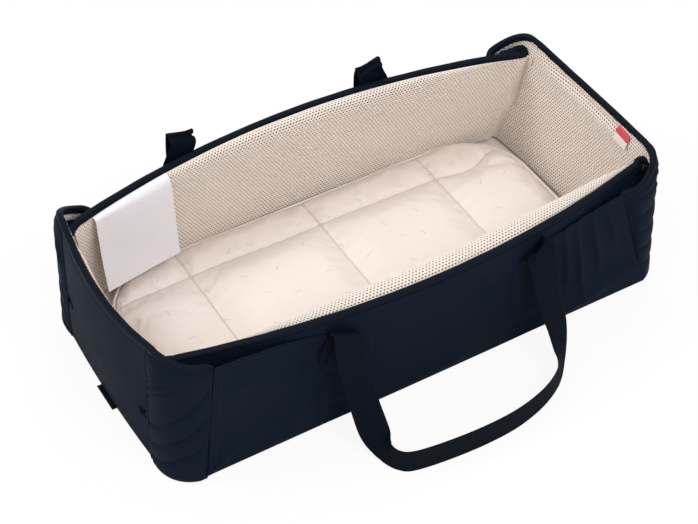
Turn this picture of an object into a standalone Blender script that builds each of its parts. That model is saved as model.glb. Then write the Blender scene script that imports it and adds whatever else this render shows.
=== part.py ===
"""Carrycot: a soft cot with stiff ends, quilted corner wraps, folding side walls and two webbing handles.

The cot lies along X, with its front at -Y and its underside at Z = 0. Lengths are in metres.
"""

import math

import bmesh
import bpy
from mathutils import Matrix, Vector

# Outer shell
LENGTH = 0.730
WIDTH = 0.357
END_HEIGHT = 0.202
END_DIP = 0.013
CORNER_RADIUS = 0.045
RIM_SETBACK = 0.008
RIM_NARROWING = 0.0085
BASE_END_BOW = 0.004
RIM_END_BOW = 0.0095
END_BULGE = 0.006

# Side walls
SIDE_HEIGHT = 0.181
SIDE_CROWN = 0.004
SIDE_TUCK = 0.0445
SIDE_BOW = 0.050
SIDE_END_INSET = 0.0125
SIDE_END_GAP = 0.023
SIDE_FOOT_GAP = 0.053
FOLD_HEIGHT = 0.042
FOLD_PLAY = 0.0005
BAND_HEIGHT = 0.037

# Layers, from the outside in
CLOTH = 0.0015
BOARD = 0.003
SPACER_MESH = 0.003
BASE_BOARD = 0.004
BASE_LINING = 0.002
CLEARANCE = 0.0003
WRAP_PLAY = 0.0006
GUSSET_CLOTH = 0.0012
LINING_COVE = 0.031
LINING_EDGE_GAP = 0.010

# Rim bindings
BINDING = 0.009
BINDING_DEPTH = 0.0035
BINDING_SIDES = 2
RIM_PLAY = 0.0006

# Corner wraps: how far the free edge lies from the cot's end at its top and foot, and its dip and flare.
# They are sewn to the ends a little inside the corner's arc.
SEAM_INSET = 0.007
BOARD_INSET = 0.002
WRAP_STEPS = 10
RIM_PEAK_SHARE = 0.2
GUSSET_FIRST_COLUMN = 1
GUSSET_FIRST_ROW = 3
QUILT_RISE = 0.0018
QUILT_SWEEP_SHARE = 0.36
QUILT_SEAM_SHARES = (0.0, 0.50, 0.71, 0.93, 1.36)
WRAP_SIZES = {
    "front_left": {"top": 0.067, "foot": 0.044, "dip": 0.016, "flare": 0.005},
    "front_right": {"top": 0.086, "foot": 0.030, "dip": 0.030, "flare": -0.008},
    "rear_left": {"top": 0.070, "foot": 0.044, "dip": 0.024, "flare": -0.003},
    "rear_right": {"top": 0.070, "foot": 0.036, "dip": 0.026, "flare": -0.004},
}

# Slots and tabs of the ends
SLOT_INSET = 0.011
SLOT_LIFT = 0.078
SLOT_WIDTH = 0.012
SLOT_HEIGHT = 0.015
SLOT_TAB_WIDTH = 0.007
SLOT_TAB_THICKNESS = 0.0012
BASE_TAB_WIDTH = 0.046
BASE_TAB_REACH = 0.011
BASE_TAB_THICKNESS = 0.0036

# Mattress
MATTRESS_END_GAP = 0.0073
MATTRESS_PLAY = 0.0004
MATTRESS_CORNER = 0.090
MATTRESS_THICKNESS = 0.031
MATTRESS_EDGE = 0.020
MATTRESS_ROUND = 0.030
MATTRESS_DRAW_IN = 0.002
CHANNEL_DEPTH = 0.0035
CHANNEL_WIDTH = 0.007
CHANNEL_OFFSET = 0.105
CHANNEL_STATIONS = {"left": -0.197, "middle": 0.0, "right": 0.185}
MATTRESS_COLUMN_SHARES = (0.012, 0.03, 0.06, 0.1, 0.9, 0.94, 0.97, 0.988)
MATTRESS_ROW_SHARES = (0.03, 0.08, 0.35, 0.5, 0.65, 0.92, 0.97)
PIPING = 0.005

# Webbing handles
WEBBING = 0.038
WEBBING_THICKNESS = 0.0018
ANCHOR_FOOT = 0.050
SLIT_DROP = 0.031
PIVOT_STANDOFF = 0.0075
PIVOT_PLAY = 0.0013
FLOOR_GAP = 0.0003
HANDLE_SIZES = {
    "front": {"left": -0.135, "right": 0.145, "fold_lift": -0.021, "reach": 0.121},
    "rear": {"left": -0.160, "right": 0.122, "fold_lift": 0.022, "reach": 0.076},
}
HANDLE_ROUTE_SHARES = (
    # across, out, down, turn of the webbing in half turns
    (-1.0, 0.0, 0.0, 0.0),
    (-1.0, 0.10, 0.18, 0.0),
    (-0.98, 0.22, 0.47, 0.05),
    (-0.97, 0.36, 0.74, 0.16),
    (-0.964, 0.53, 0.93, 0.31),
    (-0.943, 0.69, 1.0, 0.44),
    (-0.886, 0.826, 1.0, 0.5),
    (-0.75, 0.917, 1.0, 0.5),
    (-0.43, 0.975, 1.0, 0.5),
    (-0.036, 1.0, 1.0, 0.5),
    (0.32, 0.975, 1.0, 0.5),
    (0.65, 0.876, 1.0, 0.5),
    (0.893, 0.72, 1.0, 0.54),
    (1.02, 0.53, 0.93, 0.67),
    (1.07, 0.36, 0.73, 0.81),
    (1.035, 0.22, 0.46, 0.93),
    (1.0, 0.10, 0.21, 1.0),
    (1.0, 0.0, 0.0, 1.0),
)
STEPS_PER_POINT = 3

# Side flaps
FLAP_STANDOFF = 0.0045
FLAP_EDGE_PLAY = 0.0008
FLAP_OVERLAP = 0.022
FLAP_FOLD = 0.0024
FLAP_FOLDS = 3

# Tags
HANG_TAG_WIDTH = 0.095
HANG_TAG_HEIGHT = 0.130
HANG_TAG_INSET = 0.122
END_TAG_WIDTH = 0.044
END_TAG_HEIGHT = 0.042
END_TAG_OFFSET = -0.066
TAG_THICKNESS = 0.0006

# Finishes: colour, roughness
NAVY_CLOTH = ((0.020, 0.025, 0.042, 1.0), 0.75)
NAVY_BINDING = ((0.028, 0.034, 0.052, 1.0), 0.65)
NAVY_WEBBING = ((0.022, 0.026, 0.036, 1.0), 0.60)
BEIGE_MESH = ((0.78, 0.66, 0.54, 1.0), 0.90)
BEIGE_COTTON = ((0.80, 0.72, 0.63, 1.0), 0.85)
STIFFENER = ((0.35, 0.33, 0.30, 1.0), 0.60)
WHITE_TAG = ((0.80, 0.79, 0.79, 1.0), 0.60)
RED_TAG = ((0.60, 0.10, 0.12, 1.0), 0.60)

# Derived sizes
HALF_LENGTH = LENGTH / 2
HALF_WIDTH = WIDTH / 2
LAYERS = CLOTH + CLEARANCE + BOARD + CLEARANCE + SPACER_MESH
BOARD_DEPTH = CLOTH + CLEARANCE
LINING_DEPTH = BOARD_DEPTH + BOARD + CLEARANCE
BASE_TOP = CLOTH + CLEARANCE + BASE_BOARD + CLEARANCE + BASE_LINING
WALL_FOOT = FOLD_HEIGHT + FOLD_PLAY
HINGE_OFFSET = HALF_WIDTH - LAYERS
STRAP_SEAT = (BINDING - LAYERS) / 2 + CLEARANCE + WEBBING_THICKNESS / 2
LINING_FOOT = LINING_DEPTH + LINING_COVE + SPACER_MESH
PIPING_OFFSET = PIPING / 2 + CLEARANCE * 2
PIPING_REACH = PIPING_OFFSET + PIPING / 2
MATTRESS_LENGTH = LENGTH - 2 * (LINING_FOOT + PIPING_REACH + MATTRESS_END_GAP)
MATTRESS_WIDTH = WIDTH - 2 * (LAYERS + PIPING_REACH + MATTRESS_PLAY)
SEAM_HEIGHT = SIDE_HEIGHT - BAND_HEIGHT
SLIT_HEIGHT = SIDE_HEIGHT - SLIT_DROP
SEAM_HALF = HALF_WIDTH - RIM_NARROWING - CORNER_RADIUS - SEAM_INSET
SLOT_OFFSET = SEAM_HALF - SLOT_INSET
RIM_HALF = HALF_LENGTH - SIDE_END_GAP
SIDES = {"front": -1, "rear": 1}
ENDS = {"left": -1, "right": 1}
QUARTERS = ((1, 1, 0), (-1, 1, 1), (-1, -1, 2), (1, -1, 3))


def mix(low, high, share):
    """Goes from low to high by a share."""
    return low + (high - low) * share


def ease(share):
    """Starts and stops gently between 0 and 1."""
    share = min(max(share, 0), 1)
    return share * share * (3 - 2 * share)


def even(count):
    """Gives evenly spaced shares from 0 to 1."""
    return [i / count for i in range(count + 1)]


# Surfaces of the shell


def shell_half(z):
    """Half width of the shell at its corners."""
    return HALF_WIDTH - RIM_NARROWING * z / END_HEIGHT


def corner_line(z):
    """Where the flat end turns into the corner's arc."""
    return shell_half(z) - CORNER_RADIUS


def end_half(z):
    """Half length of the shell at its corners."""
    return HALF_LENGTH - RIM_SETBACK * z / END_HEIGHT


def end_x(y, z):
    """Outer face of an end wall."""
    rise = z / END_HEIGHT
    bow = mix(BASE_END_BOW, RIM_END_BOW, rise) + END_BULGE * 4 * rise * (1 - rise)
    return end_half(z) + bow * (1 - (y / corner_line(z)) ** 2)


def end_rim(y):
    """Height of the end wall's rim, lowest at its middle."""
    return END_HEIGHT - END_DIP * (1 - (y / corner_line(END_HEIGHT)) ** 2)


def side_y(x, z):
    """Outer face of a side wall: nearly upright at its middle, tucked in at its ends."""
    along = x / RIM_HALF
    foot = HALF_WIDTH - SIDE_END_INSET * along ** 4
    rim = HALF_WIDTH - SIDE_TUCK + SIDE_BOW * (1 - along ** 2)
    return mix(foot, rim, z / SIDE_HEIGHT)


def side_rim(x):
    """Height of a side wall's rim, highest at its middle."""
    return SIDE_HEIGHT + SIDE_CROWN * (1 - (x / RIM_HALF) ** 2)


def side_end(z):
    """Half length of a side wall, which follows the slope of the end lining."""
    return HALF_LENGTH - mix(SIDE_FOOT_GAP, SIDE_END_GAP, z / SIDE_HEIGHT)


def free_edge(wrap, z):
    """Distance from the middle of the cot to a wrap's free edge."""
    return HALF_LENGTH - mix(wrap["foot"], wrap["top"], z / END_HEIGHT)


def wrap_point(wrap, start, share, z, depth):
    """Walks round a corner from the end wall to the wrap's free edge, at a depth under the face."""
    flat = max(corner_line(z) - start, 0)
    arc = CORNER_RADIUS * math.pi / 2
    arc_x = end_half(z) - CORNER_RADIUS
    side = arc_x - free_edge(wrap, z)
    walked = share * (flat + arc + side)
    if walked <= flat:
        y = start + walked
        return end_x(y, z) - depth, y
    if walked <= flat + arc:
        angle = (walked - flat) / CORNER_RADIUS
        radius = CORNER_RADIUS - depth
        return arc_x + radius * math.cos(angle), corner_line(z) + radius * math.sin(angle)
    passed = walked - flat - arc
    flare = wrap["flare"] * z / END_HEIGHT * ease(passed / side)
    return arc_x - passed, shell_half(z) + flare - depth


def wrap_rim(wrap, share):
    """Height of a wrap's rim, which peaks at the corner and dips to the free edge."""
    peak = mix(end_rim(SEAM_HALF), END_HEIGHT, ease(share / RIM_PEAK_SHARE))
    return peak - wrap["dip"] * ease((share - RIM_PEAK_SHARE) / (1 - RIM_PEAK_SHARE))


def quilt(share, height):
    """Outward swell of the padding between the curved quilting seams."""
    level = height + QUILT_SWEEP_SHARE * (1 - share ** 2)
    for low, high in zip(QUILT_SEAM_SHARES, QUILT_SEAM_SHARES[1:]):
        if low <= level <= high:
            swell = math.sin(math.pi * (level - low) / (high - low))
            return QUILT_RISE * swell * math.sin(math.pi * share)
    return 0


# Object helpers


def finish(name, look):
    """A plain finish of one colour and roughness."""
    material = bpy.data.materials.new(name)
    material.use_nodes = True
    shader = material.node_tree.nodes["Principled BSDF"]
    shader.inputs["Base Color"].default_value = look[0]
    shader.inputs["Roughness"].default_value = look[1]
    return material


def place(item, look, collection, pivot=None):
    """Gives an object its material and collection, and hangs it on its pivot."""
    item.data.materials.append(finish(item.name, look))
    collection.objects.link(item)
    if pivot:
        item.data.transform(Matrix.Translation(-pivot.matrix_world.translation))
        item.parent = pivot
    return item


def pivot_empty(name, place_at, collection, parent=None):
    """An empty on a joint's axis, which carries what turns there."""
    pivot = bpy.data.objects.new(name, None)
    collection.objects.link(pivot)
    pivot.location = place_at
    if parent:
        pivot.location = place_at - parent.matrix_world.translation
        pivot.parent = parent
    bpy.context.view_layer.update()
    return pivot


def sheet(name, columns, rows, inner, outer):
    """Closes a sheet between two surfaces, each a function of two shares from 0 to 1."""
    shell = bmesh.new()
    grid = bmesh.ops.create_grid(shell, x_segments=len(columns) - 1, y_segments=len(rows) - 1, size=1)
    shares = {}
    for vert in grid["verts"]:
        column = round((vert.co.x + 1) / 2 * (len(columns) - 1))
        row = round((vert.co.y + 1) / 2 * (len(rows) - 1))
        shares[(column, row)] = vert
    top = bmesh.ops.extrude_face_region(shell, geom=shell.faces[:])
    for vert in top["geom"]:
        if isinstance(vert, bmesh.types.BMVert):
            column = round((vert.co.x + 1) / 2 * (len(columns) - 1))
            row = round((vert.co.y + 1) / 2 * (len(rows) - 1))
            vert.co = outer(columns[column], rows[row])
    for (column, row), vert in shares.items():
        vert.co = inner(columns[column], rows[row])
    bmesh.ops.recalc_face_normals(shell, faces=shell.faces)
    if shell.calc_volume(signed=True) < 0:
        bmesh.ops.reverse_faces(shell, faces=shell.faces)
    mesh = bpy.data.meshes.new(name)
    shell.to_mesh(mesh)
    shell.free()
    return bpy.data.objects.new(name, mesh)


def tube(name, points, width, cyclic=False, resolution=BINDING_SIDES):
    """Sweeps a round cord through points."""
    curve = bpy.data.curves.new(name, "CURVE")
    curve.dimensions = "3D"
    curve.bevel_depth = width / 2
    curve.bevel_resolution = resolution
    curve.use_fill_caps = not cyclic
    spline = curve.splines.new("POLY")
    spline.points.add(len(points) - 1)
    for target, point in zip(spline.points, points):
        target.co = (*point, 1)
    spline.use_cyclic_u = cyclic
    return bpy.data.objects.new(name, curve)


def box(name, low, high):
    """A box between two corners."""
    shell = bmesh.new()
    bmesh.ops.create_cube(shell, size=1)
    low, high = Vector(low), Vector(high)
    for vert in shell.verts:
        vert.co = [mix(low[i], high[i], vert.co[i] + 0.5) for i in range(3)]
    mesh = bpy.data.meshes.new(name)
    shell.to_mesh(mesh)
    shell.free()
    return bpy.data.objects.new(name, mesh)


def plate(name, half_x, half_y, radius, low, high):
    """A flat board with round corners."""
    curve = bpy.data.curves.new(name, "CURVE")
    curve.dimensions = "2D"
    curve.fill_mode = "BOTH"
    curve.extrude = (high - low) / 2
    spline = curve.splines.new("POLY")
    points = []
    for sign_x, sign_y, quarter in QUARTERS:
        for step in even(6):
            angle = (quarter + step) * math.pi / 2
            x = sign_x * (half_x - radius) + radius * math.cos(angle)
            y = sign_y * (half_y - radius) + radius * math.sin(angle)
            points.append((x, y))
    spline.points.add(len(points) - 1)
    for target, point in zip(spline.points, points):
        target.co = (*point, 0, 1)
    spline.use_cyclic_u = True
    item = bpy.data.objects.new(name, curve)
    item.location.z = (high + low) / 2
    return item


# Base


def make_base(collection):
    """Cover, board and lining of the flat base."""
    half_x = HALF_LENGTH - BOARD_DEPTH - CLEARANCE
    half_y = HALF_WIDTH - LAYERS - CLEARANCE
    layers = (
        ("base_cover", CLOTH, NAVY_CLOTH),
        ("base_board", BASE_BOARD, STIFFENER),
        ("base_lining", BASE_LINING, BEIGE_MESH),
    )
    low = 0
    for name, thickness, look in layers:
        place(plate(name, half_x, half_y, CORNER_RADIUS, low, low + thickness), look, collection)
        low += thickness + CLEARANCE


def make_lower_panel(side, collection):
    """Padded upstand of the base between two corner wraps."""
    left, right = (free_edge(WRAP_SIZES[f"{side}_{end}"], FOLD_HEIGHT) - CLEARANCE for end in ENDS)
    near, far = sorted(SIDES[side] * y for y in (HALF_WIDTH, HALF_WIDTH - LAYERS))
    panel = box(f"{side}_lower_panel", (-left, near, 0), (right, far, FOLD_HEIGHT))
    place(panel, NAVY_CLOTH, collection)


# Ends


def end_sheet(name, end, half, depth, thickness, low, columns, rows):
    """A layer of an end wall between two depths."""
    sign = ENDS[end]

    def layer(at):
        def point(u, v):
            y = mix(-half, half, u)
            z = mix(low, end_rim(y) - BINDING - RIM_PLAY, v)
            return sign * (end_x(y, z) - at), y, z

        return point

    return sheet(name, columns, rows, layer(depth + thickness), layer(depth))


def lining_x(y, z):
    """Outer face of an end lining, which slopes in towards the mattress."""
    rise = (z - BASE_TOP) / (END_HEIGHT - BASE_TOP)
    return end_x(y, z) - LINING_DEPTH - LINING_COVE * (1 - rise)


def lining_half(z):
    """Half width of an end lining, which fits between the side walls."""
    return side_y(side_end(z), z) - LAYERS - LINING_EDGE_GAP * z / END_HEIGHT


def make_end(end, collection, cutters):
    """Cover, board and lining of an end wall, with its slots, binding and foot tab."""
    sign = ENDS[end]
    floor = BASE_TOP + CLEARANCE
    board_half = SEAM_HALF - BOARD_INSET
    cover = end_sheet(f"{end}_end_cover", end, SEAM_HALF, 0, CLOTH, 0, even(12), even(6))
    board = end_sheet(f"{end}_end_board", end, board_half, BOARD_DEPTH, BOARD, floor, even(12), even(4))

    def lining(depth):
        def point(u, v):
            flat_z = mix(floor, END_HEIGHT - BINDING - RIM_PLAY, v)
            y = mix(-1, 1, u) * lining_half(flat_z)
            z = mix(floor, end_rim(y) - BINDING - RIM_PLAY, v)
            return sign * (lining_x(y, z) - depth), y, z

        return point

    lining_sheet = sheet(f"{end}_end_lining", even(10), even(6), lining(SPACER_MESH), lining(0))
    place(cover, NAVY_CLOTH, collection)
    place(board, STIFFENER, collection)
    place(lining_sheet, BEIGE_MESH, collection)
    for side, side_sign in SIDES.items():
        add_slot(end, side, side_sign, (cover, board), collection, cutters)
    add_end_binding(end, collection)
    reach = sign * (end_x(0, 0) + CLEARANCE)
    tip = reach + sign * BASE_TAB_REACH
    low = (min(reach, tip), -BASE_TAB_WIDTH / 2, 0)
    high = (max(reach, tip), BASE_TAB_WIDTH / 2, BASE_TAB_THICKNESS)
    place(box(f"{end}_base_tab", low, high), NAVY_WEBBING, collection)


def add_slot(end, side, side_sign, walls, collection, cutters):
    """Cuts a slot through an end cover and its board, and sews a tab beside it."""
    sign = ENDS[end]
    y = side_sign * SLOT_OFFSET
    face = end_x(y, SLOT_LIFT)
    reach = (face - LAYERS, face + LAYERS)
    spans = sorted(sign * x for x in reach)
    low = (spans[0], y - SLOT_WIDTH / 2, SLOT_LIFT - SLOT_HEIGHT / 2)
    high = (spans[1], y + SLOT_WIDTH / 2, SLOT_LIFT + SLOT_HEIGHT / 2)
    cutter = box(f"{end}_{side}_slot_cutter", low, high)
    cutters.objects.link(cutter)
    cutter.hide_render = True
    cutter.display_type = "WIRE"
    for wall in walls:
        cut = wall.modifiers.new("slot", "BOOLEAN")
        cut.operation = "DIFFERENCE"
        cut.solver = "EXACT"
        cut.object = cutter
    tab_y = y - side_sign * (SLOT_WIDTH / 2 + SLOT_TAB_WIDTH / 2 + CLEARANCE)

    def tab(depth):
        def point(u, v):
            at_y = tab_y + mix(-1, 1, u) * SLOT_TAB_WIDTH / 2
            z = SLOT_LIFT + mix(-1, 1, v) * SLOT_TAB_WIDTH / 2
            return sign * (end_x(at_y, z) + depth), at_y, z

        return point

    tab_sheet = sheet(
        f"{end}_{side}_slot_tab", even(1), even(1), tab(CLEARANCE), tab(CLEARANCE + SLOT_TAB_THICKNESS)
    )
    place(tab_sheet, NAVY_WEBBING, collection)


def add_end_binding(end, collection):
    """Binding along an end's rim and round both wraps to their free edges."""
    sign = ENDS[end]
    points = []
    front = WRAP_SIZES[f"front_{end}"]
    rear = WRAP_SIZES[f"rear_{end}"]
    turn = even(10)
    for share in reversed(turn):
        z = wrap_rim(front, share) - BINDING / 2
        x, y = wrap_point(front, SEAM_HALF, share, z, BINDING_DEPTH)
        points.append((sign * x, -y, z))
    for share in even(8)[1:-1]:
        y = mix(-SEAM_HALF, SEAM_HALF, share)
        z = end_rim(y) - BINDING / 2
        points.append((sign * (end_x(y, z) - BINDING_DEPTH), y, z))
    for share in turn:
        z = wrap_rim(rear, share) - BINDING / 2
        x, y = wrap_point(rear, SEAM_HALF, share, z, BINDING_DEPTH)
        points.append((sign * x, y, z))
    place(tube(f"{end}_end_binding", points, BINDING), NAVY_BINDING, collection)


# Corner wraps and gussets


def make_wrap(side, end, collection):
    """Quilted wrap round a corner, with the gusset that lines it."""
    wrap = WRAP_SIZES[f"{side}_{end}"]
    side_sign, end_sign = SIDES[side], ENDS[end]

    def layer(depth, swell):
        def point(u, v):
            z = v * (wrap_rim(wrap, u) - BINDING - RIM_PLAY)
            x, y = wrap_point(wrap, SEAM_HALF + CLEARANCE, u, z, depth - swell(u, v))
            return end_sign * x, side_sign * y, z

        return point

    def flat(share, height):
        return 0

    name = f"{side}_{end}"
    steps = even(WRAP_STEPS)
    padded = sheet(f"{name}_wrap", steps, steps, layer(CLOTH, flat), layer(0, quilt))
    place(padded, NAVY_CLOTH, collection)
    depth = CLOTH + WRAP_PLAY
    columns, rows = steps[GUSSET_FIRST_COLUMN:], steps[GUSSET_FIRST_ROW:]
    gusset = sheet(f"{name}_gusset", columns, rows, layer(depth + GUSSET_CLOTH, flat), layer(depth, flat))
    place(gusset, BEIGE_MESH, collection)


# Side walls


def wall_sheet(name, side, depth, thickness, levels, columns):
    """A layer of a side wall between two depths. Each level is a height, or None for the rim's seat."""
    sign = SIDES[side]

    def layer(at):
        def point(u, v):
            level = levels[round(v * (len(levels) - 1))]
            along = mix(-1, 1, u)
            z = rim_seat(along * RIM_HALF) if level is None else level
            x = along * side_end(z)
            return x, sign * (side_y(x, z) - at), z

        return point

    return sheet(name, columns, even(len(levels) - 1), layer(depth + thickness), layer(depth))


def rim_seat(x):
    """Height where a side wall's layers end under the binding."""
    return side_rim(x) - BINDING - RIM_PLAY


def make_side(side, collection):
    """Side wall that turns on its foot, with its binding, flaps, straps and handle."""
    sign = SIDES[side]
    hinge = pivot_empty(f"{side}_wall_pivot", Vector((0, sign * HINGE_OFFSET, FOLD_HEIGHT)), collection)
    foot = [mix(WALL_FOOT, SEAM_HEIGHT, share) for share in even(4)]
    layers = (
        ("panel", 0, CLOTH, foot[:-1] + [SEAM_HEIGHT - CLEARANCE], NAVY_CLOTH),
        ("band", 0, CLOTH, [SEAM_HEIGHT, None], NAVY_CLOTH),
        ("board", BOARD_DEPTH, BOARD, foot + [None], STIFFENER),
        ("lining", LINING_DEPTH, SPACER_MESH, foot + [None], BEIGE_MESH),
    )
    for name, depth, thickness, levels, look in layers:
        item = wall_sheet(f"{side}_side_{name}", side, depth, thickness, levels, even(16))
        place(item, look, collection, hinge)
    points = []
    for share in even(24):
        x = mix(-1, 1, share) * side_end(SIDE_HEIGHT)
        z = side_rim(x) - BINDING / 2
        points.append((x, sign * (side_y(x, z) - LAYERS / 2), z))
    place(tube(f"{side}_side_binding", points, BINDING), NAVY_BINDING, collection, hinge)
    for end in ENDS:
        make_flap(side, end, hinge, collection)
        make_anchor(side, end, hinge, collection)
    make_handle(side, hinge, collection)
    return hinge


def make_flap(side, end, hinge, collection):
    """Outer skirt between a handle and a corner wrap, with soft upright folds."""
    sign, end_sign = SIDES[side], ENDS[end]
    wrap = WRAP_SIZES[f"{side}_{end}"]
    start = end_sign * HANDLE_SIZES[side][end] - FLAP_OVERLAP
    wrap_top = END_HEIGHT - wrap["dip"] - BINDING

    def surface(depth):
        def point(u, v):
            top = mix(SLIT_HEIGHT, wrap_top, ease(u))
            z = mix(WALL_FOOT, top, v)
            x = mix(start, free_edge(wrap, z) - FLAP_EDGE_PLAY, u)
            flare = wrap["flare"] * z / END_HEIGHT
            near = side_y(x, z) + FLAP_STANDOFF
            far = shell_half(z) + flare
            fold = FLAP_FOLD * math.sin(math.pi * FLAP_FOLDS * u) ** 2 * math.sin(math.pi * u)
            y = mix(near, max(near, far), ease(u)) + fold * ease(v)
            return end_sign * x, sign * (y - depth), z

        return point

    flap = sheet(f"{side}_{end}_flap", even(14), even(4), surface(CLOTH), surface(0))
    place(flap, NAVY_CLOTH, collection, hinge)


def pivot_y(side):
    """How far out a handle's fold line lies, outside the wall at the slits."""
    sizes = HANDLE_SIZES[side]
    return max(side_y(sizes[end], SLIT_HEIGHT) for end in ENDS) + PIVOT_STANDOFF


def pivot_z(side):
    """Height of a handle's fold line."""
    return SIDE_HEIGHT + HANDLE_SIZES[side]["fold_lift"]


def make_anchor(side, end, hinge, collection):
    """Webbing sewn up the side wall that turns out over the flap to the handle's fold line."""
    sign = SIDES[side]
    centre = HANDLE_SIZES[side][end]
    tip = pivot_y(side) - PIVOT_PLAY
    straight = 4
    turn = 6

    def middle(x, share):
        step = share * (straight + turn)
        root = max(side_y(x, SLIT_HEIGHT), side_y(x, SIDE_HEIGHT)) + STRAP_SEAT
        radius = tip - root
        bend = pivot_z(side) - radius
        if step <= straight:
            z = mix(ANCHOR_FOOT, bend, step / straight)
            return (side_y(x, z) + STRAP_SEAT if z < SLIT_HEIGHT else root), z
        angle = (step - straight) / turn * math.pi / 2
        return tip - radius * math.cos(angle), bend + radius * math.sin(angle)

    def surface(offset):
        def point(u, v):
            x = centre + mix(-1, 1, v) * WEBBING / 2
            step = 1 / (straight + turn)
            y0, z0 = middle(x, max(u - step / 2, 0))
            y1, z1 = middle(x, min(u + step / 2, 1))
            y, z = middle(x, u)
            along = Vector((y1 - y0, z1 - z0)).normalized()
            return x, sign * (y + along.y * offset), z - along.x * offset

        return point

    half = WEBBING_THICKNESS / 2
    strap = sheet(f"{side}_{end}_strap_anchor", even(straight + turn), even(1), surface(-half), surface(half))
    place(strap, NAVY_WEBBING, collection, hinge)


def curve_value(values, at):
    """Reads a smooth curve through evenly spaced values."""
    last = len(values) - 1
    at = min(max(at, 0), last)
    i = min(int(at), last - 1)
    before, start, stop, after = (values[min(max(i + k, 0), last)] for k in (-1, 0, 1, 2))
    t = at - i
    return (
        start
        + (stop - before) * t / 2
        + (2 * before - 5 * start + 4 * stop - after) * t * t / 2
        + (3 * start - before - 3 * stop + after) * t ** 3 / 2
    )


def make_handle(side, hinge, collection):
    """Webbing loop: two legs that turn on edge and a grip that stands on the floor."""
    sign = SIDES[side]
    sizes = HANDLE_SIZES[side]
    line_y, line_z = pivot_y(side), pivot_z(side)
    pivot = pivot_empty(f"{side}_handle_pivot", Vector((0, sign * line_y, line_z)), collection, hinge)
    middle_x = (sizes["left"] + sizes["right"]) / 2
    half_x = (sizes["right"] - sizes["left"]) / 2
    drop = line_z - WEBBING / 2 - FLOOR_GAP
    tracks = list(zip(*HANDLE_ROUTE_SHARES))

    def centre(at):
        across, out, down = (curve_value(track, at) for track in tracks[:3])
        return Vector(
            (
                middle_x + across * half_x,
                sign * (line_y + out * sizes["reach"]),
                line_z - min(down, 1) * drop,
            )
        )

    last = len(HANDLE_ROUTE_SHARES) - 1

    def surface(offset):
        def point(u, v):
            at = u * last
            reach = 1 / STEPS_PER_POINT
            along = (centre(min(at + reach, last)) - centre(max(at - reach, 0))).normalized()
            turn = curve_value(tracks[3], at) * math.pi
            hint = Vector((math.cos(turn), 0, math.sin(turn)))
            width = (hint - along * hint.dot(along)).normalized()
            normal = along.cross(width)
            return centre(at) + width * mix(-1, 1, v) * WEBBING / 2 + normal * offset

        return point

    half = WEBBING_THICKNESS / 2
    columns = even(last * STEPS_PER_POINT)
    loop = sheet(f"{side}_handle", columns, even(1), surface(-half), surface(half))
    place(loop, NAVY_WEBBING, collection, pivot)


# Mattress


def mattress_half(x):
    """Half width of the mattress at a station along it, with round corners and drawn-in sides."""
    half_x, half_y = MATTRESS_LENGTH / 2, MATTRESS_WIDTH / 2
    inset = max(abs(x) - (half_x - MATTRESS_CORNER), 0)
    corner = MATTRESS_CORNER - math.sqrt(max(MATTRESS_CORNER ** 2 - inset ** 2, 0))
    drawn = MATTRESS_DRAW_IN * math.cos(math.pi * x / MATTRESS_LENGTH)
    return half_y - corner - drawn


def mattress_edge_distance(x, y):
    """Distance in from the outline."""
    half_x, half_y = MATTRESS_LENGTH / 2, MATTRESS_WIDTH / 2
    inset_x = abs(x) - (half_x - MATTRESS_CORNER)
    inset_y = abs(y) - (half_y - MATTRESS_CORNER)
    if inset_x > 0 and inset_y > 0:
        return MATTRESS_CORNER - math.hypot(inset_x, inset_y)
    return min(half_x - abs(x), half_y - abs(y))


def mattress_top(x, y):
    """Height of the quilted top over the base lining."""
    inwards = min(max(mattress_edge_distance(x, y), 0) / MATTRESS_ROUND, 1)
    crown = math.sqrt(1 - (1 - inwards) ** 2)
    seams = [abs(x - station) for station in CHANNEL_STATIONS.values()]
    seams += [abs(abs(y) - CHANNEL_OFFSET)]
    sewn = max(math.exp(-((gap / CHANNEL_WIDTH) ** 2)) for gap in seams)
    return mix(MATTRESS_EDGE, MATTRESS_THICKNESS, crown) - CHANNEL_DEPTH * sewn * crown


def seam_shares(half, seams, plain):
    """Shares across a width with three rows at each seam."""
    marks = {0.0, 1.0}
    for seam in seams:
        for step in (-1, 0, 1):
            marks.add(round((seam + step * CHANNEL_WIDTH + half) / (2 * half), 6))
    for share in plain:
        if all(abs(share - mark) * 2 * half > 2 * CHANNEL_WIDTH for mark in marks):
            marks.add(share)
    return sorted(marks)


def make_mattress(collection):
    """Quilted mattress with a piped edge."""
    half_x, half_y = MATTRESS_LENGTH / 2, MATTRESS_WIDTH / 2
    base = BASE_TOP + CLEARANCE
    columns = seam_shares(half_x, CHANNEL_STATIONS.values(), [*MATTRESS_COLUMN_SHARES, *even(12)])
    rows = seam_shares(half_y, (-CHANNEL_OFFSET, CHANNEL_OFFSET), MATTRESS_ROW_SHARES)

    def place_at(u, v):
        x = mix(-half_x, half_x, u)
        return x, mix(-1, 1, v) * mattress_half(x)

    def bottom(u, v):
        x, y = place_at(u, v)
        return x, y, base

    def top(u, v):
        x, y = place_at(u, v)
        return x, y, base + mattress_top(x, y)

    place(sheet("mattress", columns, rows, bottom, top), BEIGE_COTTON, collection)
    ring = []
    for sign_x, sign_y, quarter in QUARTERS:
        for step in even(6):
            angle = (quarter + step) * math.pi / 2
            radius = MATTRESS_CORNER + PIPING_OFFSET
            x = sign_x * (half_x - MATTRESS_CORNER) + radius * math.cos(angle)
            y = sign_y * (half_y - MATTRESS_CORNER) + radius * math.sin(angle)
            ring.append((x, y, base + MATTRESS_EDGE - PIPING / 2))
    place(tube("mattress_piping", ring, PIPING, cyclic=True, resolution=1), BEIGE_COTTON, collection)


# Tags


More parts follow.
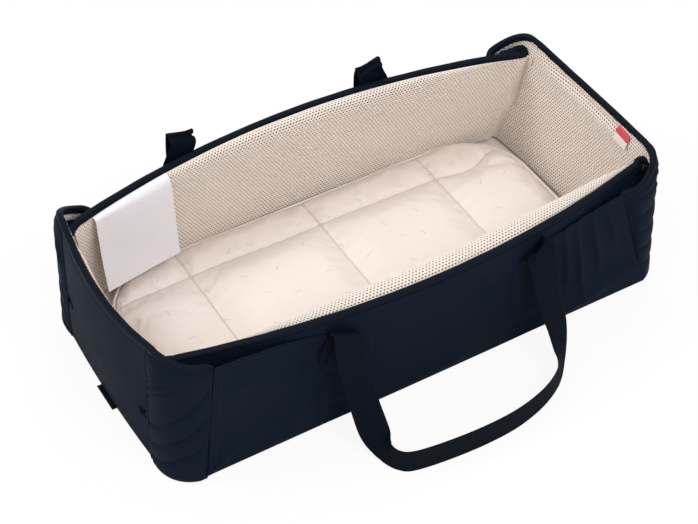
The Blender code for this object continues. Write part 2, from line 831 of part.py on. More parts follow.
def make_hang_tag(hinge, collection):
    """Fabric tag sewn under the rear rim, in front of the lining."""
    depth = LAYERS + CLEARANCE
    low = SIDE_HEIGHT - BINDING - HANG_TAG_HEIGHT

    def surface(at):
        def point(u, v):
            x = HANG_TAG_INSET - HALF_LENGTH + mix(-1, 1, u) * HANG_TAG_WIDTH / 2
            z = mix(low, SIDE_HEIGHT - BINDING - RIM_PLAY, v)
            return x, side_y(x, z) - at, z

        return point

    tag = sheet("rear_hang_tag", even(4), even(4), surface(depth + TAG_THICKNESS), surface(depth))
    place(tag, WHITE_TAG, collection, hinge)


def make_end_tag(collection):
    """Small folded tag on the right lining."""
    high = END_HEIGHT - END_DIP - BINDING - RIM_PLAY

    def surface(at):
        def point(u, v):
            y = END_TAG_OFFSET + mix(-1, 1, u) * END_TAG_WIDTH / 2
            z = mix(high - END_TAG_HEIGHT, high, v)
            return lining_x(y, z) - SPACER_MESH - at, y, z

        return point

    tag = sheet("right_end_tag", even(4), even(4), surface(CLEARANCE + TAG_THICKNESS), surface(CLEARANCE))
    place(tag, RED_TAG, collection)


def main():
    for item in list(bpy.data.objects):
        bpy.data.objects.remove(item)
    carrycot = bpy.data.collections.new("carrycot")
    cutters = bpy.data.collections.new("cutters")
    bpy.context.scene.collection.children.link(carrycot)
    bpy.context.scene.collection.children.link(cutters)
    make_base(carrycot)
    for end in ENDS:
        make_end(end, carrycot, cutters)
    hinges = {}
    for side in SIDES:
        make_lower_panel(side, carrycot)
        hinges[side] = make_side(side, carrycot)
        for end in ENDS:
            make_wrap(side, end, carrycot)
    make_mattress(carrycot)
    make_hang_tag(hinges["rear"], carrycot)
    make_end_tag(carrycot)


main()
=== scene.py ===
"""Carrycot: cloth, mesh lining, padding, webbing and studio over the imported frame.

The cot lies along X, with its front at -Y, and stands on Z = 0. Lengths are in metres.
"""

import logging
import math
from dataclasses import dataclass, field
from enum import Enum
from typing import Callable, Sequence

import bpy
import numpy as np
from mathutils import Matrix, Vector
from mathutils.bvhtree import BVHTree


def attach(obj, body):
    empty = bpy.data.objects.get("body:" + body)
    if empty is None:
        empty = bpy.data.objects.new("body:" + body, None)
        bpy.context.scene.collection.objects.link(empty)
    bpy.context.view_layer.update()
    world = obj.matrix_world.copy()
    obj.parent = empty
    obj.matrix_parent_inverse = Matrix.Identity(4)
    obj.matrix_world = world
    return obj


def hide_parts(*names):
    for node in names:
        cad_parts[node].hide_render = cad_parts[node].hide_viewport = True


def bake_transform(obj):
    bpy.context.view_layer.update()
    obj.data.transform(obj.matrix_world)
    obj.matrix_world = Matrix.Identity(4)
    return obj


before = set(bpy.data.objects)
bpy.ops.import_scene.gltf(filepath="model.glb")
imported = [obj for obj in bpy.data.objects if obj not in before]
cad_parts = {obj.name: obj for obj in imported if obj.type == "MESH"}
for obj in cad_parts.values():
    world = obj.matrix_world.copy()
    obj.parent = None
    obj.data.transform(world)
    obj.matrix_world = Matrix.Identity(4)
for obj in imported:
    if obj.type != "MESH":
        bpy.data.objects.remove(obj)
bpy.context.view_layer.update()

LOG = logging.getLogger("carrycot")
Array = np.ndarray
Pair = tuple[float, float]
Triple = tuple[float, float, float]
Colour = Triple
Node = bpy.types.Node
Tree = bpy.types.NodeTree
Socket = bpy.types.NodeSocket
Thing = bpy.types.Object
IMAGE_WIDTH = 698
COT = "cot"


class Side(Enum):
    """The two long sides."""

    FRONT = "front"
    REAR = "rear"

    def __str__(self) -> str:
        """Name of the side, as the pieces' names have it."""
        return self.value

    @property
    def sign(self) -> int:
        """Which way the side faces along Y."""
        return -1 if self is Side.FRONT else 1

    @property
    def wall(self) -> str:
        """Body of the side's folding wall."""
        return f"{self}_wall"

    @property
    def loop(self) -> str:
        """Body of the side's handle."""
        return f"{self}_loop"


class End(Enum):
    """The two short ends."""

    LEFT = "left"
    RIGHT = "right"

    def __str__(self) -> str:
        """Name of the end, as the pieces' names have it."""
        return self.value

    @property
    def sign(self) -> int:
        """Which way the end faces along X."""
        return -1 if self is End.LEFT else 1

    @property
    def index(self) -> int:
        """Place of the end in a pair of values, left before right."""
        return 0 if self is End.LEFT else 1


# Numbers


def mix(low: float | Array, high: float | Array, share: float | Array) -> float | Array:
    """Goes from low to high by a share."""
    return low + (high - low) * share


def ease(share: float | Array) -> float | Array:
    """Starts and stops gently between 0 and 1."""
    share = np.clip(share, 0, 1)
    return share * share * (3 - 2 * share)


def even(count: int) -> Array:
    """Evenly spaced shares from 0 to 1."""
    return np.linspace(0, 1, count + 1)


def rounded(gap: float | Array, radius: float) -> float | Array:
    """Rise of a round edge at a distance in from it, from 0 to 1."""
    return np.sqrt(1 - (1 - np.clip(gap / radius, 0, 1)) ** 2)


def blunt(share: float | Array, power: float) -> float | Array:
    """Thickness between edges at -1 and 1, which falls off the later the higher the power."""
    return np.sqrt(np.maximum(1 - np.abs(share) ** power, 0))


def stacked(*parts: float | Array) -> Array:
    """Points, or places on flat cloth, from their coordinates."""
    return np.stack(np.broadcast_arrays(*parts), axis=-1)


def grid(rows: Array, columns: Array) -> tuple[Array, Array]:
    """Two values at each place of a grid: one changes from row to row, one from column to column."""
    return tuple(np.meshgrid(rows, columns, indexing="ij"))


def unit(vectors: Array) -> Array:
    """Vectors of length one."""
    return vectors / np.maximum(np.linalg.norm(vectors, axis=-1, keepdims=True), 1e-12)


def walked(line: Array) -> Array:
    """How far along a line each of its points lies."""
    gaps = np.linalg.norm(np.diff(line, axis=0), axis=1)
    return np.concatenate([[0], np.cumsum(gaps)])


def even_line(line: Array, step: float) -> Array:
    """A line's points laid out again about a step apart."""
    line = np.asarray(line, float)
    far = walked(line)
    places = far[-1] * even(max(int(round(far[-1] / step)), 1))
    return np.stack([np.interp(places, far, line[:, i]) for i in range(line.shape[1])], axis=1)


def curved(before: Array, start: Array, stop: Array, after: Array, share: Array) -> Array:
    """Smooth curve from start to stop that also passes through the points before and after them."""
    return (
        start
        + (stop - before) * share / 2
        + (2 * before - 5 * start + 4 * stop - after) * share**2 / 2
        + (3 * start - before - 3 * stop + after) * share**3 / 2
    )


def smooth_line(points: Sequence, step: float) -> Array:
    """A smooth line through points, with its own points about a step apart."""
    points = np.asarray(points, float)
    ends = np.concatenate([points[:1], points, points[-1:]])
    shares = np.linspace(0, 1, 12, endpoint=False)[:, None]
    parts = [curved(*four, shares) for four in zip(ends, ends[1:], ends[2:], ends[3:])]
    return even_line(np.concatenate([*parts, points[-1:]]), step)


def smooth_steps(tracks: Array, at: Array) -> Array:
    """Reads smooth curves through evenly spaced rows of values.

    Args:
        tracks: The rows.
        at: Where to read, in rows.

    Returns:
        One row of values for each place.
    """
    last = len(tracks) - 1
    index = np.minimum(at.astype(int), last - 1)
    four = (tracks[np.clip(index + k, 0, last)] for k in (-1, 0, 1, 2))
    return curved(*four, (at - index)[:, None])


def ripple(along: Array, up: Array, length: float, seed: int) -> Array:
    """Soft unevenness of cloth, from -1 to 1, with waves of about a length."""
    dice = np.random.default_rng(seed)
    total = np.zeros(np.broadcast(along, up).shape)
    for _ in range(6):
        angle = dice.uniform(0, math.pi)
        wave = length * dice.uniform(0.7, 1.6)
        way = along * math.cos(angle) + up * math.sin(angle)
        total = total + np.sin(way * 2 * math.pi / wave + dice.uniform(0, 6.3))
    return total / 6


@dataclass(frozen=True)
class Crease:
    """A soft fold in cloth, from one point of its sheet to another."""

    start: Pair
    stop: Pair
    width: float
    lift: float

    def raised(self, along: Array, up: Array) -> Array:
        """How far the fold lifts the cloth at each point of its sheet."""
        run, climb = self.stop[0] - self.start[0], self.stop[1] - self.start[1]
        share = ((along - self.start[0]) * run + (up - self.start[1]) * climb) / (run**2 + climb**2)
        near = np.clip(share, 0, 1)
        gap = np.hypot(along - self.start[0] - near * run, up - self.start[1] - near * climb)
        swell = 0.25 + 0.75 * np.sin(math.pi * near)
        core = 0.25 * self.width
        crest = np.exp(-(np.sqrt(gap**2 + core**2) - core) / self.width * 1.6)
        return self.lift * swell * crest


def folded(creases: Sequence[Crease], along: Array, up: Array) -> Array:
    """How far several folds lift the cloth together."""
    total = np.zeros(np.broadcast(along, up).shape)
    for crease in creases:
        total = total + crease.raised(along, up)
    return total


# Node trees


class NodeBoard:
    """Places and links the nodes of one tree."""

    def __init__(self, tree: Tree) -> None:
        """Starts on a tree."""
        self.tree = tree

    def node(self, kind: str, inputs: dict | None = None, **settings: object) -> Node:
        """Adds a node.

        Args:
            kind: Type name of the node.
            inputs: Values or sockets for its inputs, by name or number.
            **settings: Values for its properties.

        Returns:
            The node.
        """
        made = self.tree.nodes.new(kind)
        for name, value in settings.items():
            setattr(made, name, value)
        for key, value in (inputs or {}).items():
            if isinstance(value, Socket):
                self.tree.links.new(value, made.inputs[key])
            else:
                made.inputs[key].default_value = value
        return made

    def math(self, operation: str, *values: float | Socket) -> Socket:
        """Adds a sum and gives its result."""
        made = self.node("ShaderNodeMath", dict(enumerate(values)), operation=operation)
        return made.outputs[0]

    def noise(self, vector: Socket, scale: float, detail: float = 2.0) -> Socket:
        """Adds soft noise and gives its value."""
        made = self.node("ShaderNodeTexNoise", {"Vector": vector, "Scale": scale, "Detail": detail})
        return made.outputs[0]

    def spread(self, value: Socket, low: float, high: float, to_low: float = 0.0, to_high: float = 1.0) -> Socket:
        """Stretches a range of values over another."""
        inputs = {"Value": value, "From Min": low, "From Max": high, "To Min": to_low, "To Max": to_high}
        return self.node("ShaderNodeMapRange", inputs).outputs[0]

    def tint(self, share: float | Socket, first: Colour | Socket, second: Colour | Socket) -> Socket:
        """Mixes two colours and gives the result."""
        first, second = (value if isinstance(value, Socket) else (*value, 1) for value in (first, second))
        return self.node("ShaderNodeMix", {0: share, 6: first, 7: second}, data_type="RGBA").outputs[2]

    def parts(self, vector: Socket) -> tuple[Socket, Socket, Socket]:
        """The three coordinates of a vector."""
        return tuple(self.node("ShaderNodeSeparateXYZ", {0: vector}).outputs)

    def give(self, kind: str, values: dict[str, Socket]) -> Tree:
        """Ends a group: puts out values of one socket type under their names, and gives the tree."""
        for label in values:
            self.tree.interface.new_socket(name=label, in_out="OUTPUT", socket_type=kind)
        self.node("NodeGroupOutput", values)
        return self.tree


def new_group(name: str, kind: str, takes: dict[str, tuple]) -> tuple[NodeBoard, bpy.types.bpy_prop_collection]:
    """Starts a node group.

    Args:
        name: Name of the group.
        kind: Type of its tree.
        takes: Socket type and value of each input, by name.

    Returns:
        A board on its tree, and the sockets that bring in its inputs.
    """
    tree = bpy.data.node_groups.new(name, kind)
    for label, (socket_type, value) in takes.items():
        socket = tree.interface.new_socket(name=label, in_out="INPUT", socket_type=socket_type)
        if value is not None:
            socket.default_value = value
    board = NodeBoard(tree)
    return board, board.node("NodeGroupInput").outputs


FLOAT, VECTOR, WHOLE = "NodeSocketFloat", "NodeSocketVector", "NodeSocketInt"
GEOMETRY, OBJECT, MATERIAL = "NodeSocketGeometry", "NodeSocketObject", "NodeSocketMaterial"


class Effects:
    """Shader groups that several finishes use, each built once."""

    made: dict[str, Tree] = {}

    @classmethod
    def use(cls, board: NodeBoard, name: str, inputs: dict) -> Node:
        """Puts a group into a material with that material's own values."""
        if name not in cls.made:
            cls.made[name] = getattr(cls, name)()
        return board.node("ShaderNodeGroup", inputs, node_tree=cls.made[name])

    @staticmethod
    def weave() -> Tree:
        """Threads that cross over and under: Height, and Gap between the threads."""
        takes = {"Vector": (VECTOR, None), "Pitch": (FLOAT, 0.0007), "Slant": (FLOAT, 0.0)}
        board, given = new_group("weave", "ShaderNodeTree", takes)
        x, y, _ = board.parts(given["Vector"])
        turn = board.math("DIVIDE", 2 * math.pi, given["Pitch"])
        leant = board.math("MULTIPLY_ADD", y, given["Slant"], x)
        warp = board.math("SINE", board.math("MULTIPLY", leant, turn))
        weft = board.math("SINE", board.math("MULTIPLY", y, turn))
        height = board.math("MULTIPLY_ADD", board.math("MULTIPLY", warp, weft), 0.5, 0.5)
        thread = board.math("MAXIMUM", board.math("ABSOLUTE", warp), board.math("ABSOLUTE", weft))
        return board.give(FLOAT, {"Height": height, "Gap": board.math("SUBTRACT", 1.0, thread)})

    @staticmethod
    def wear() -> Tree:
        """Uneven shade of used cloth: Tone, a Rough share, and a mask of Lint."""
        takes = {"Vector": (VECTOR, None), "Mottle": (FLOAT, 0.1)}
        board, given = new_group("wear", "ShaderNodeTree", takes)
        broad = board.noise(given["Vector"], 9.0, 3.0)
        fine = board.noise(given["Vector"], 260.0, 2.0)
        both = board.math("MULTIPLY_ADD", fine, 0.35, board.math("MULTIPLY", broad, 0.65))
        swing = board.math("MULTIPLY", board.math("SUBTRACT", both, 0.5), given["Mottle"])
        tone = board.math("ADD", 1.0, board.math("MULTIPLY", swing, 4.0))
        lint = board.spread(board.noise(given["Vector"], 900.0, 1.0), 0.72, 0.8)
        return board.give(FLOAT, {"Tone": tone, "Rough": board.spread(broad, 0.3, 0.7), "Lint": lint})

    @staticmethod
    def ribs() -> Tree:
        """Fine ribs across a tape, broken by its threads: Height."""
        takes = {"Vector": (VECTOR, None), "Pitch": (FLOAT, 0.001)}
        board, given = new_group("ribs", "ShaderNodeTree", takes)
        x, y, _ = board.parts(given["Vector"])
        turn = board.math("DIVIDE", 2 * math.pi, given["Pitch"])
        wave = board.math("SINE", board.math("MULTIPLY", x, turn))
        cross = board.math("SINE", board.math("MULTIPLY", y, board.math("MULTIPLY", turn, 1.7)))
        height = board.math("MULTIPLY_ADD", wave, 0.4, board.math("MULTIPLY_ADD", cross, 0.12, 0.5))
        return board.give(FLOAT, {"Height": height})


def shade(red: int, green: int, blue: int) -> Colour:
    """A colour as a screen shows it, made linear."""
    parts = [value / 255 for value in (red, green, blue)]
    return tuple(v / 12.92 if v <= 0.04045 else ((v + 0.055) / 1.055) ** 2.4 for v in parts)


# Finishes


@dataclass(frozen=True)
class Finish:
    """What every finish has: a name, a colour, and how rough and soft it is."""

    name: str
    colour: Colour
    rough: float = 0.7
    rough_swing: float = 0.1
    sheen: float = 0.0
    specular: float = 0.4
    mottle: float = 0.08
    on_map: bool = True
    sheen_rough: float = 0.45
    relief: float = 0.9

    def material(self) -> bpy.types.Material:
        """The finish as a material, made when it is first asked for."""
        known = bpy.data.materials.get(self.name)
        if known:
            return known
        material = bpy.data.materials.new(self.name)
        material.use_nodes = True
        board = NodeBoard(material.node_tree)
        shader = material.node_tree.nodes["Principled BSDF"]
        shader.inputs["Sheen Weight"].default_value = self.sheen
        shader.inputs["Sheen Roughness"].default_value = self.sheen_rough
        shader.inputs["Specular IOR Level"].default_value = self.specular
        if self.on_map:
            vector = board.node("ShaderNodeUVMap", uv_map="cloth").outputs[0]
        else:
            vector = board.node("ShaderNodeTexCoord").outputs["Object"]
        wear = Effects.use(board, "wear", {"Vector": vector, "Mottle": self.mottle})
        low, high = self.rough - self.rough_swing, self.rough + self.rough_swing
        rough = board.spread(wear.outputs["Rough"], 0, 1, low, high)
        colour, height, distance = self.pattern(board, vector, wear)
        board.tree.links.new(colour, shader.inputs["Base Color"])
        board.tree.links.new(rough, shader.inputs["Roughness"])
        bump = board.node("ShaderNodeBump", {"Height": height, "Distance": distance, "Strength": self.relief})
        board.tree.links.new(bump.outputs[0], shader.inputs["Normal"])
        return material

    def toned(self, board: NodeBoard, tone: Socket, colour: Colour | None = None) -> Socket:
        """The finish's colour, lighter or darker by a tone."""
        grey = board.node("ShaderNodeCombineColor", {0: tone, 1: tone, 2: tone}).outputs[0]
        inputs = {0: 1.0, 6: (*(colour or self.colour), 1), 7: grey}
        return board.node("ShaderNodeMix", inputs, data_type="RGBA", blend_type="MULTIPLY").outputs[2]

    def pattern(self, board: NodeBoard, vector: Socket, wear: Node) -> tuple[Socket, Socket, float]:
        """Colour, height and depth of the surface's own pattern: here a fine grain."""
        return self.toned(board, wear.outputs["Tone"]), board.noise(vector, 700.0), 0.0002


@dataclass(frozen=True)
class WovenCloth(Finish):
    """Plain woven cloth with a few specks of lint."""

    pitch: float = 0.0008
    depth: float = 0.00012
    lint: float = 0.03
    lint_colour: Colour = (0.55, 0.55, 0.56)

    def pattern(self, board: NodeBoard, vector: Socket, wear: Node) -> tuple[Socket, Socket, float]:
        """Crossing threads, with painted shade in the gaps."""
        weave = Effects.use(board, "weave", {"Vector": vector, "Pitch": self.pitch})
        # Painted shade: darker where the threads leave gaps.
        painted_gap_shade = board.spread(weave.outputs["Gap"], 0.0, 0.5, 1.0, 0.82)
        tone = board.math("MULTIPLY", wear.outputs["Tone"], painted_gap_shade)
        light = board.math("MULTIPLY", wear.outputs["Lint"], self.lint)
        colour = board.tint(light, self.toned(board, tone), self.lint_colour)
        rumple = board.noise(vector, 120.0, 3.0)
        height = board.math("MULTIPLY_ADD", rumple, 1.6, weave.outputs["Height"])
        return colour, height, self.depth


@dataclass(frozen=True)
class RibbedTape(Finish):
    """Folded tape with fine ribs across it."""

    pitch: float = 0.0011
    depth: float = 0.00022

    def pattern(self, board: NodeBoard, vector: Socket, wear: Node) -> tuple[Socket, Socket, float]:
        """Ribs across the tape, with painted shade between them."""
        ribs = Effects.use(board, "ribs", {"Vector": vector, "Pitch": self.pitch})
        # Painted shade: darker in the grooves between the ribs.
        painted_gap_shade = board.spread(ribs.outputs["Height"], 0.1, 0.6, 0.72, 1.0)
        tone = board.math("MULTIPLY", wear.outputs["Tone"], painted_gap_shade)
        return self.toned(board, tone), ribs.outputs["Height"], self.depth


@dataclass(frozen=True)
class Knit(Finish):
    """Fuzzy knitted mesh."""

    pitch: float = 0.0012
    depth: float = 0.0003
    # Painted shade: colour of the gaps between loops and of the holes' walls.
    hollow: Colour = (0.20, 0.125, 0.075)

    def pattern(self, board: NodeBoard, vector: Socket, wear: Node) -> tuple[Socket, Socket, float]:
        """Slanting loops, with painted shade in the gaps between them and on the holes' walls."""
        loops = Effects.use(board, "weave", {"Vector": vector, "Pitch": self.pitch, "Slant": 0.6})
        base = self.toned(board, wear.outputs["Tone"])
        # Painted shade in the gaps between the loops.
        share = board.spread(loops.outputs["Gap"], 0.15, 0.6, 0.0, 0.22)
        # Painted shade on the holes' walls, darker the deeper they go.
        hole = board.node("ShaderNodeAttribute", attribute_name="hollow").outputs["Fac"]
        share = board.math("MAXIMUM", share, board.spread(hole, 0.05, 0.75, 0.0, 0.9))
        fuzz = board.noise(vector, 2600.0, 2.0)
        height = board.math("MULTIPLY_ADD", fuzz, 0.7, loops.outputs["Height"])
        return board.tint(share, base, self.hollow), height, self.depth


@dataclass(frozen=True)
class PrintedCotton(Finish):
    """Fine cotton with a loose scatter of small plain marks, and painted shade along its quilting seams."""

    pitch: float = 0.0006
    depth: float = 0.00010
    spacing: float = 0.052
    mark: float = 0.0036
    opacity: float = 0.34
    ink: Colour = (0.36, 0.33, 0.31)
    # Colour of the painted shade along the quilting seams.
    seam: Colour = (0.40, 0.29, 0.21)

    def pattern(self, board: NodeBoard, vector: Socket, wear: Node) -> tuple[Socket, Socket, float]:
        """Pairs of small ovals, each turned its own way, over the weave and over painted shade along the seams."""
        weave = Effects.use(board, "weave", {"Vector": vector, "Pitch": self.pitch})
        cells = board.node(
            "ShaderNodeTexVoronoi",
            {"Vector": vector, "Scale": 1 / self.spacing, "Randomness": 0.55},
            voronoi_dimensions="2D",
        )
        offset = {0: vector, 1: cells.outputs["Position"]}
        gap = board.node("ShaderNodeVectorMath", offset, operation="SUBTRACT").outputs[0]
        dice = board.node("ShaderNodeSeparateColor", {0: cells.outputs["Color"]})
        turn = board.math("MULTIPLY", dice.outputs[0], 2 * math.pi)
        turned = board.node("ShaderNodeVectorRotate", {"Vector": gap, "Angle": turn}, rotation_type="Z_AXIS")
        x, y, _ = board.parts(turned.outputs[0])
        apart = board.math("SUBTRACT", board.math("ABSOLUTE", x), self.mark * 0.62)
        slim = board.math("MULTIPLY_ADD", x, 0.5, y)
        inputs = {0: board.math("ABSOLUTE", apart), 1: board.math("MULTIPLY", slim, 1.15)}
        far = board.node("ShaderNodeCombineXYZ", inputs)
        size = board.node("ShaderNodeVectorMath", {0: far.outputs[0]}, operation="LENGTH")
        inside = board.spread(size.outputs["Value"], self.mark * 0.62, self.mark * 0.45)
        speckle = board.spread(board.noise(vector, 1100.0, 1.0), 0.35, 0.55, 0.25, 1.0)
        share = board.math("MULTIPLY", board.math("MULTIPLY", inside, speckle), self.opacity)
        plain = self.toned(board, wear.outputs["Tone"])
        # Painted shade along the quilting grooves, read from the pad's seam attribute.
        seam = board.node("ShaderNodeAttribute", attribute_name="seam").outputs["Fac"]
        colour = board.tint(board.spread(seam, 0.6, 0.97, 0.0, 0.5), plain, self.seam)
        colour = board.tint(share, colour, self.ink)
        rumple = board.noise(vector, 150.0, 3.0)
        height = board.math("MULTIPLY_ADD", rumple, 3.0, weave.outputs["Height"])
        return colour, height, self.depth


@dataclass(frozen=True)
class StripedTag(Finish):
    """Woven tag with one broad stripe along its upper part."""

    stripe: Colour = (0.60, 0.07, 0.09)
    stripe_from: float = 0.0095

    def pattern(self, board: NodeBoard, vector: Socket, wear: Node) -> tuple[Socket, Socket, float]:
        """A stripe across the tag over fine threads."""
        weave = Effects.use(board, "weave", {"Vector": vector, "Pitch": 0.0006})
        up = board.parts(vector)[1]
        share = board.spread(up, self.stripe_from, self.stripe_from + 0.0006)
        base = self.toned(board, wear.outputs["Tone"])
        stripe = self.toned(board, wear.outputs["Tone"], self.stripe)
        return board.tint(share, base, stripe), weave.outputs["Height"], 0.0001


NAVY = WovenCloth("navy_cloth", shade(17, 26, 39), rough=0.6, rough_swing=0.06, specular=0.03, mottle=0.05)
NAVY_TAPE = RibbedTape("navy_tape", shade(16, 23, 34), rough=0.55, specular=0.05, mottle=0.05)
NAVY_WEBBING = WovenCloth(
    "navy_webbing", shade(12, 18, 28), rough=0.55, specular=0.04, pitch=0.0015, depth=0.0003, lint=0.02
)
NAVY_THREAD = RibbedTape("navy_thread", shade(40, 50, 66), rough=0.6, specular=0.1, pitch=0.0006, on_map=False)
CREAM_THREAD = RibbedTape("cream_thread", shade(236, 226, 212), rough=0.6, pitch=0.0006, on_map=False)
CREAM_MESH = Knit("cream_mesh", shade(246, 234, 224), rough=0.85, sheen=0.1, specular=0.2, mottle=0.04)
# Painted shade: the backing's dark colour stands in for the shade inside the holes.
PAINTED_SHADE_BACKING = Knit("mesh_backing", shade(96, 70, 50), rough=0.9, specular=0.05, mottle=0.08)
COTTON = PrintedCotton("printed_cotton", shade(240, 228, 220), rough=0.85, sheen=0.05, specular=0.2, mottle=0.025)
PLAIN_COTTON = WovenCloth(
    "plain_cotton", shade(240, 228, 220), rough=0.85, specular=0.2, mottle=0.04, pitch=0.0006, lint=0.0
)
# Painted shade: the boards' dark colour stands in for the shade seen through the end slots.
SLOT_SHADE_BOARD = Finish("pressed_board", shade(40, 42, 48), rough=0.75, mottle=0.12, on_map=False)
LABEL = WovenCloth(
    "label_cloth", shade(236, 234, 240), rough=0.6, specular=0.3, mottle=0.02, pitch=0.0005, depth=0.00005, lint=0.0
)
TAG = StripedTag("tag_cloth", shade(232, 224, 214), rough=0.6, specular=0.3, mottle=0.03)


# Meshes


class Draft:
    """Points, faces and cloth map of a piece that is being made."""

    def __init__(self, name: str) -> None:
        """Starts an empty piece."""
        self.name = name
        self.points: list[Array] = []
        self.quads: list[Array] = []
        self.corners: list[Array] = []
        self.caps: list[list[int]] = []
        self.count = 0

    def _take(self, points: Array) -> Array:
        """Adds points and gives their numbers in the same layout."""
        shape = points.shape[:-1]
        numbers = self.count + np.arange(int(np.prod(shape))).reshape(shape)
        self.points.append(points.reshape(-1, 3))
        self.count += numbers.size
        return numbers

    def _weave(self, numbers: Array, maps: Array, turned: bool, mask: Array | None = None) -> Array:
        """Adds the faces of a grid and gives them."""
        quads = np.stack([numbers[:-1, :-1], numbers[1:, :-1], numbers[1:, 1:], numbers[:-1, 1:]], axis=-1)
        corners = np.stack([maps[:-1, :-1], maps[1:, :-1], maps[1:, 1:], maps[:-1, 1:]], axis=2)
        quads, corners = quads.reshape(-1, 4), corners.reshape(-1, 4, 2)
        if mask is not None:
            quads, corners = quads[mask.ravel()], corners[mask.ravel()]
        if turned:
            quads, corners = quads[:, ::-1], corners[:, ::-1]
        self.quads.append(quads)
        self.corners.append(corners)
        return quads

    def sheet(self, outer: Array, inner: Array, maps: Array, mask: Array | None = None) -> "Draft":
        """Adds a closed sheet of cloth between two faces.

        Args:
            outer: Grid of points of the face that is seen.
            inner: Grid of points of its back.
            maps: Each point's place on the flat cloth.
            mask: Which cells of the grid are cloth, for a sheet with holes.

        Returns:
            The draft.
        """
        row, column = outer.shape[0] // 2, outer.shape[1] // 2
        down = outer[row, column - 1] - outer[row - 1, column - 1]
        over = outer[row, column] - outer[row, column - 1]
        turned = float(np.dot(np.cross(down, over), (outer - inner)[row, column])) < 0
        front, back = self._take(outer), self._take(inner)
        quads = self._weave(front, maps, turned, mask)
        self._weave(back, maps, not turned, mask)
        edges = np.concatenate([np.stack([quads[:, i], quads[:, (i + 1) % 4]], axis=1) for i in range(4)])
        codes = edges[:, 0].astype(np.int64) * self.count + edges[:, 1]
        rims = edges[~np.isin(codes, edges[:, 1].astype(np.int64) * self.count + edges[:, 0])]
        shift = back.flat[0] - front.flat[0]
        self.quads.append(np.stack([rims[:, 1], rims[:, 0], rims[:, 0] + shift, rims[:, 1] + shift], axis=1))
        flat = maps.reshape(-1, 2)
        first, second = flat[rims[:, 0] - front.flat[0]], flat[rims[:, 1] - front.flat[0]]
        self.corners.append(np.stack([second, first, first, second], axis=1))
        return self

    def tube(self, rings: Array, closed: bool = False) -> "Draft":
        """Adds a tube through rings of points.

        Args:
            rings: The rings, each a row of points.
            closed: Whether the last ring joins the first.

        Returns:
            The draft.
        """
        if closed:
            rings = np.concatenate([rings, rings[:1]])
        lengths = walked(rings.mean(axis=1))
        girth = walked(np.concatenate([rings[0], rings[0][:1]]))
        maps = stacked(*grid(lengths, girth))
        kept = rings[:-1] if closed else rings
        numbers = self._take(kept)
        if closed:
            numbers = np.concatenate([numbers, numbers[:1]])
        numbers = np.concatenate([numbers, numbers[:, :1]], axis=1)
        along = rings[1, 0] - rings[0, 0]
        around = rings[0, 1] - rings[0, 0]
        outward = (rings[0, 0] + rings[0, 1]) / 2 - rings[0].mean(axis=0)
        turned = float(np.dot(np.cross(along, around), outward)) < 0
        self._weave(numbers, maps, turned)
        if not closed:
            first, last = numbers[0, :-1].tolist(), numbers[-1, :-1].tolist()
            self.caps.append(first if turned else first[::-1])
            self.caps.append(last[::-1] if turned else last)
        return self

    def done(self, sharp: float = 55.0) -> Thing:
        """Turns the draft into an object, smooth but for edges over a number of degrees."""
        points = np.concatenate(self.points)
        faces = [quad for part in self.quads for quad in part.tolist()] + self.caps
        mesh = bpy.data.meshes.new(self.name)
        mesh.from_pydata(points, [], faces)
        maps = np.concatenate([part.reshape(-1, 2) for part in self.corners])
        spare = len(mesh.loops) - len(maps)
        maps = np.concatenate([maps, np.zeros((spare, 2))])
        mesh.uv_layers.new(name="cloth").data.foreach_set("uv", maps.astype(np.float32).ravel())
        mesh.validate(clean_customdata=False)
        mesh.shade_smooth()
        mesh.set_sharp_from_angle(angle=math.radians(sharp))
        return bpy.data.objects.new(self.name, mesh)


def oval(width: float, height: float, count: int = 20, square: float = 0.62) -> Array:
    """Outline of a rounded tape's cross-section, centred on nothing."""
    angle = np.linspace(0, 2 * math.pi, count, endpoint=False)
    across, up = (np.sign(part) * np.abs(part) ** square for part in (np.cos(angle), np.sin(angle)))
    return stacked(across * width / 2, up * height / 2)


def sweep(line: Array, outward: Array, outline: Array, swell: Array | None = None) -> Array:
    """Carries an outline along a line.

    Args:
        line: Points that the outline's origin follows.
        outward: The way its first axis points at each of them, roughly.
        outline: Points of the outline.
        swell: How large the outline is at each point, as a share.

    Returns:
        One ring of points for each point of the line.
    """
    ahead = unit(np.gradient(line, axis=0))
    across = unit(outward - ahead * np.sum(outward * ahead, axis=1, keepdims=True))
    up = np.cross(ahead, across)
    sizes = np.ones(len(line)) if swell is None else swell
    spread = across[:, None] * outline[:, 0, None] + up[:, None] * outline[:, 1, None]
    return line[:, None] + spread * sizes[:, None, None]


def cord(line: Array, width: float) -> Array:
    """Rings of a round cord along a line."""
    ahead = unit(np.gradient(line, axis=0))
    side = np.cross(ahead, [0.31, 0.22, 0.92])
    return sweep(line, side, oval(width, width, 10, 1.0))


def laid(place: Callable[[Array, Array], Array], along: Array, up: Array, lift: Array | float, facing: Array) -> Array:
    """Points on or above a surface.

    Args:
        place: The surface, a function of two distances.
        along: First distance of each point.
        up: Second distance of each point.
        lift: How far each point stands off the surface.
        facing: A direction that the surface's seen face points towards.

    Returns:
        The points.
    """
    step = 0.0005
    here = place(along, up)
    normal = unit(np.cross(place(along + step, up) - here, place(along, up + step) - here))
    middle = normal.reshape(-1, 3).mean(axis=0)
    if float(np.dot(middle, facing)) < 0:
        normal = -normal
    return here + normal * np.asarray(lift)[..., None]


def evaluated(item: Thing) -> bpy.types.Mesh:
    """Plain mesh of an object as its modifiers leave it."""
    graph = bpy.context.evaluated_depsgraph_get()
    return bpy.data.meshes.new_from_object(item.evaluated_get(graph), depsgraph=graph)


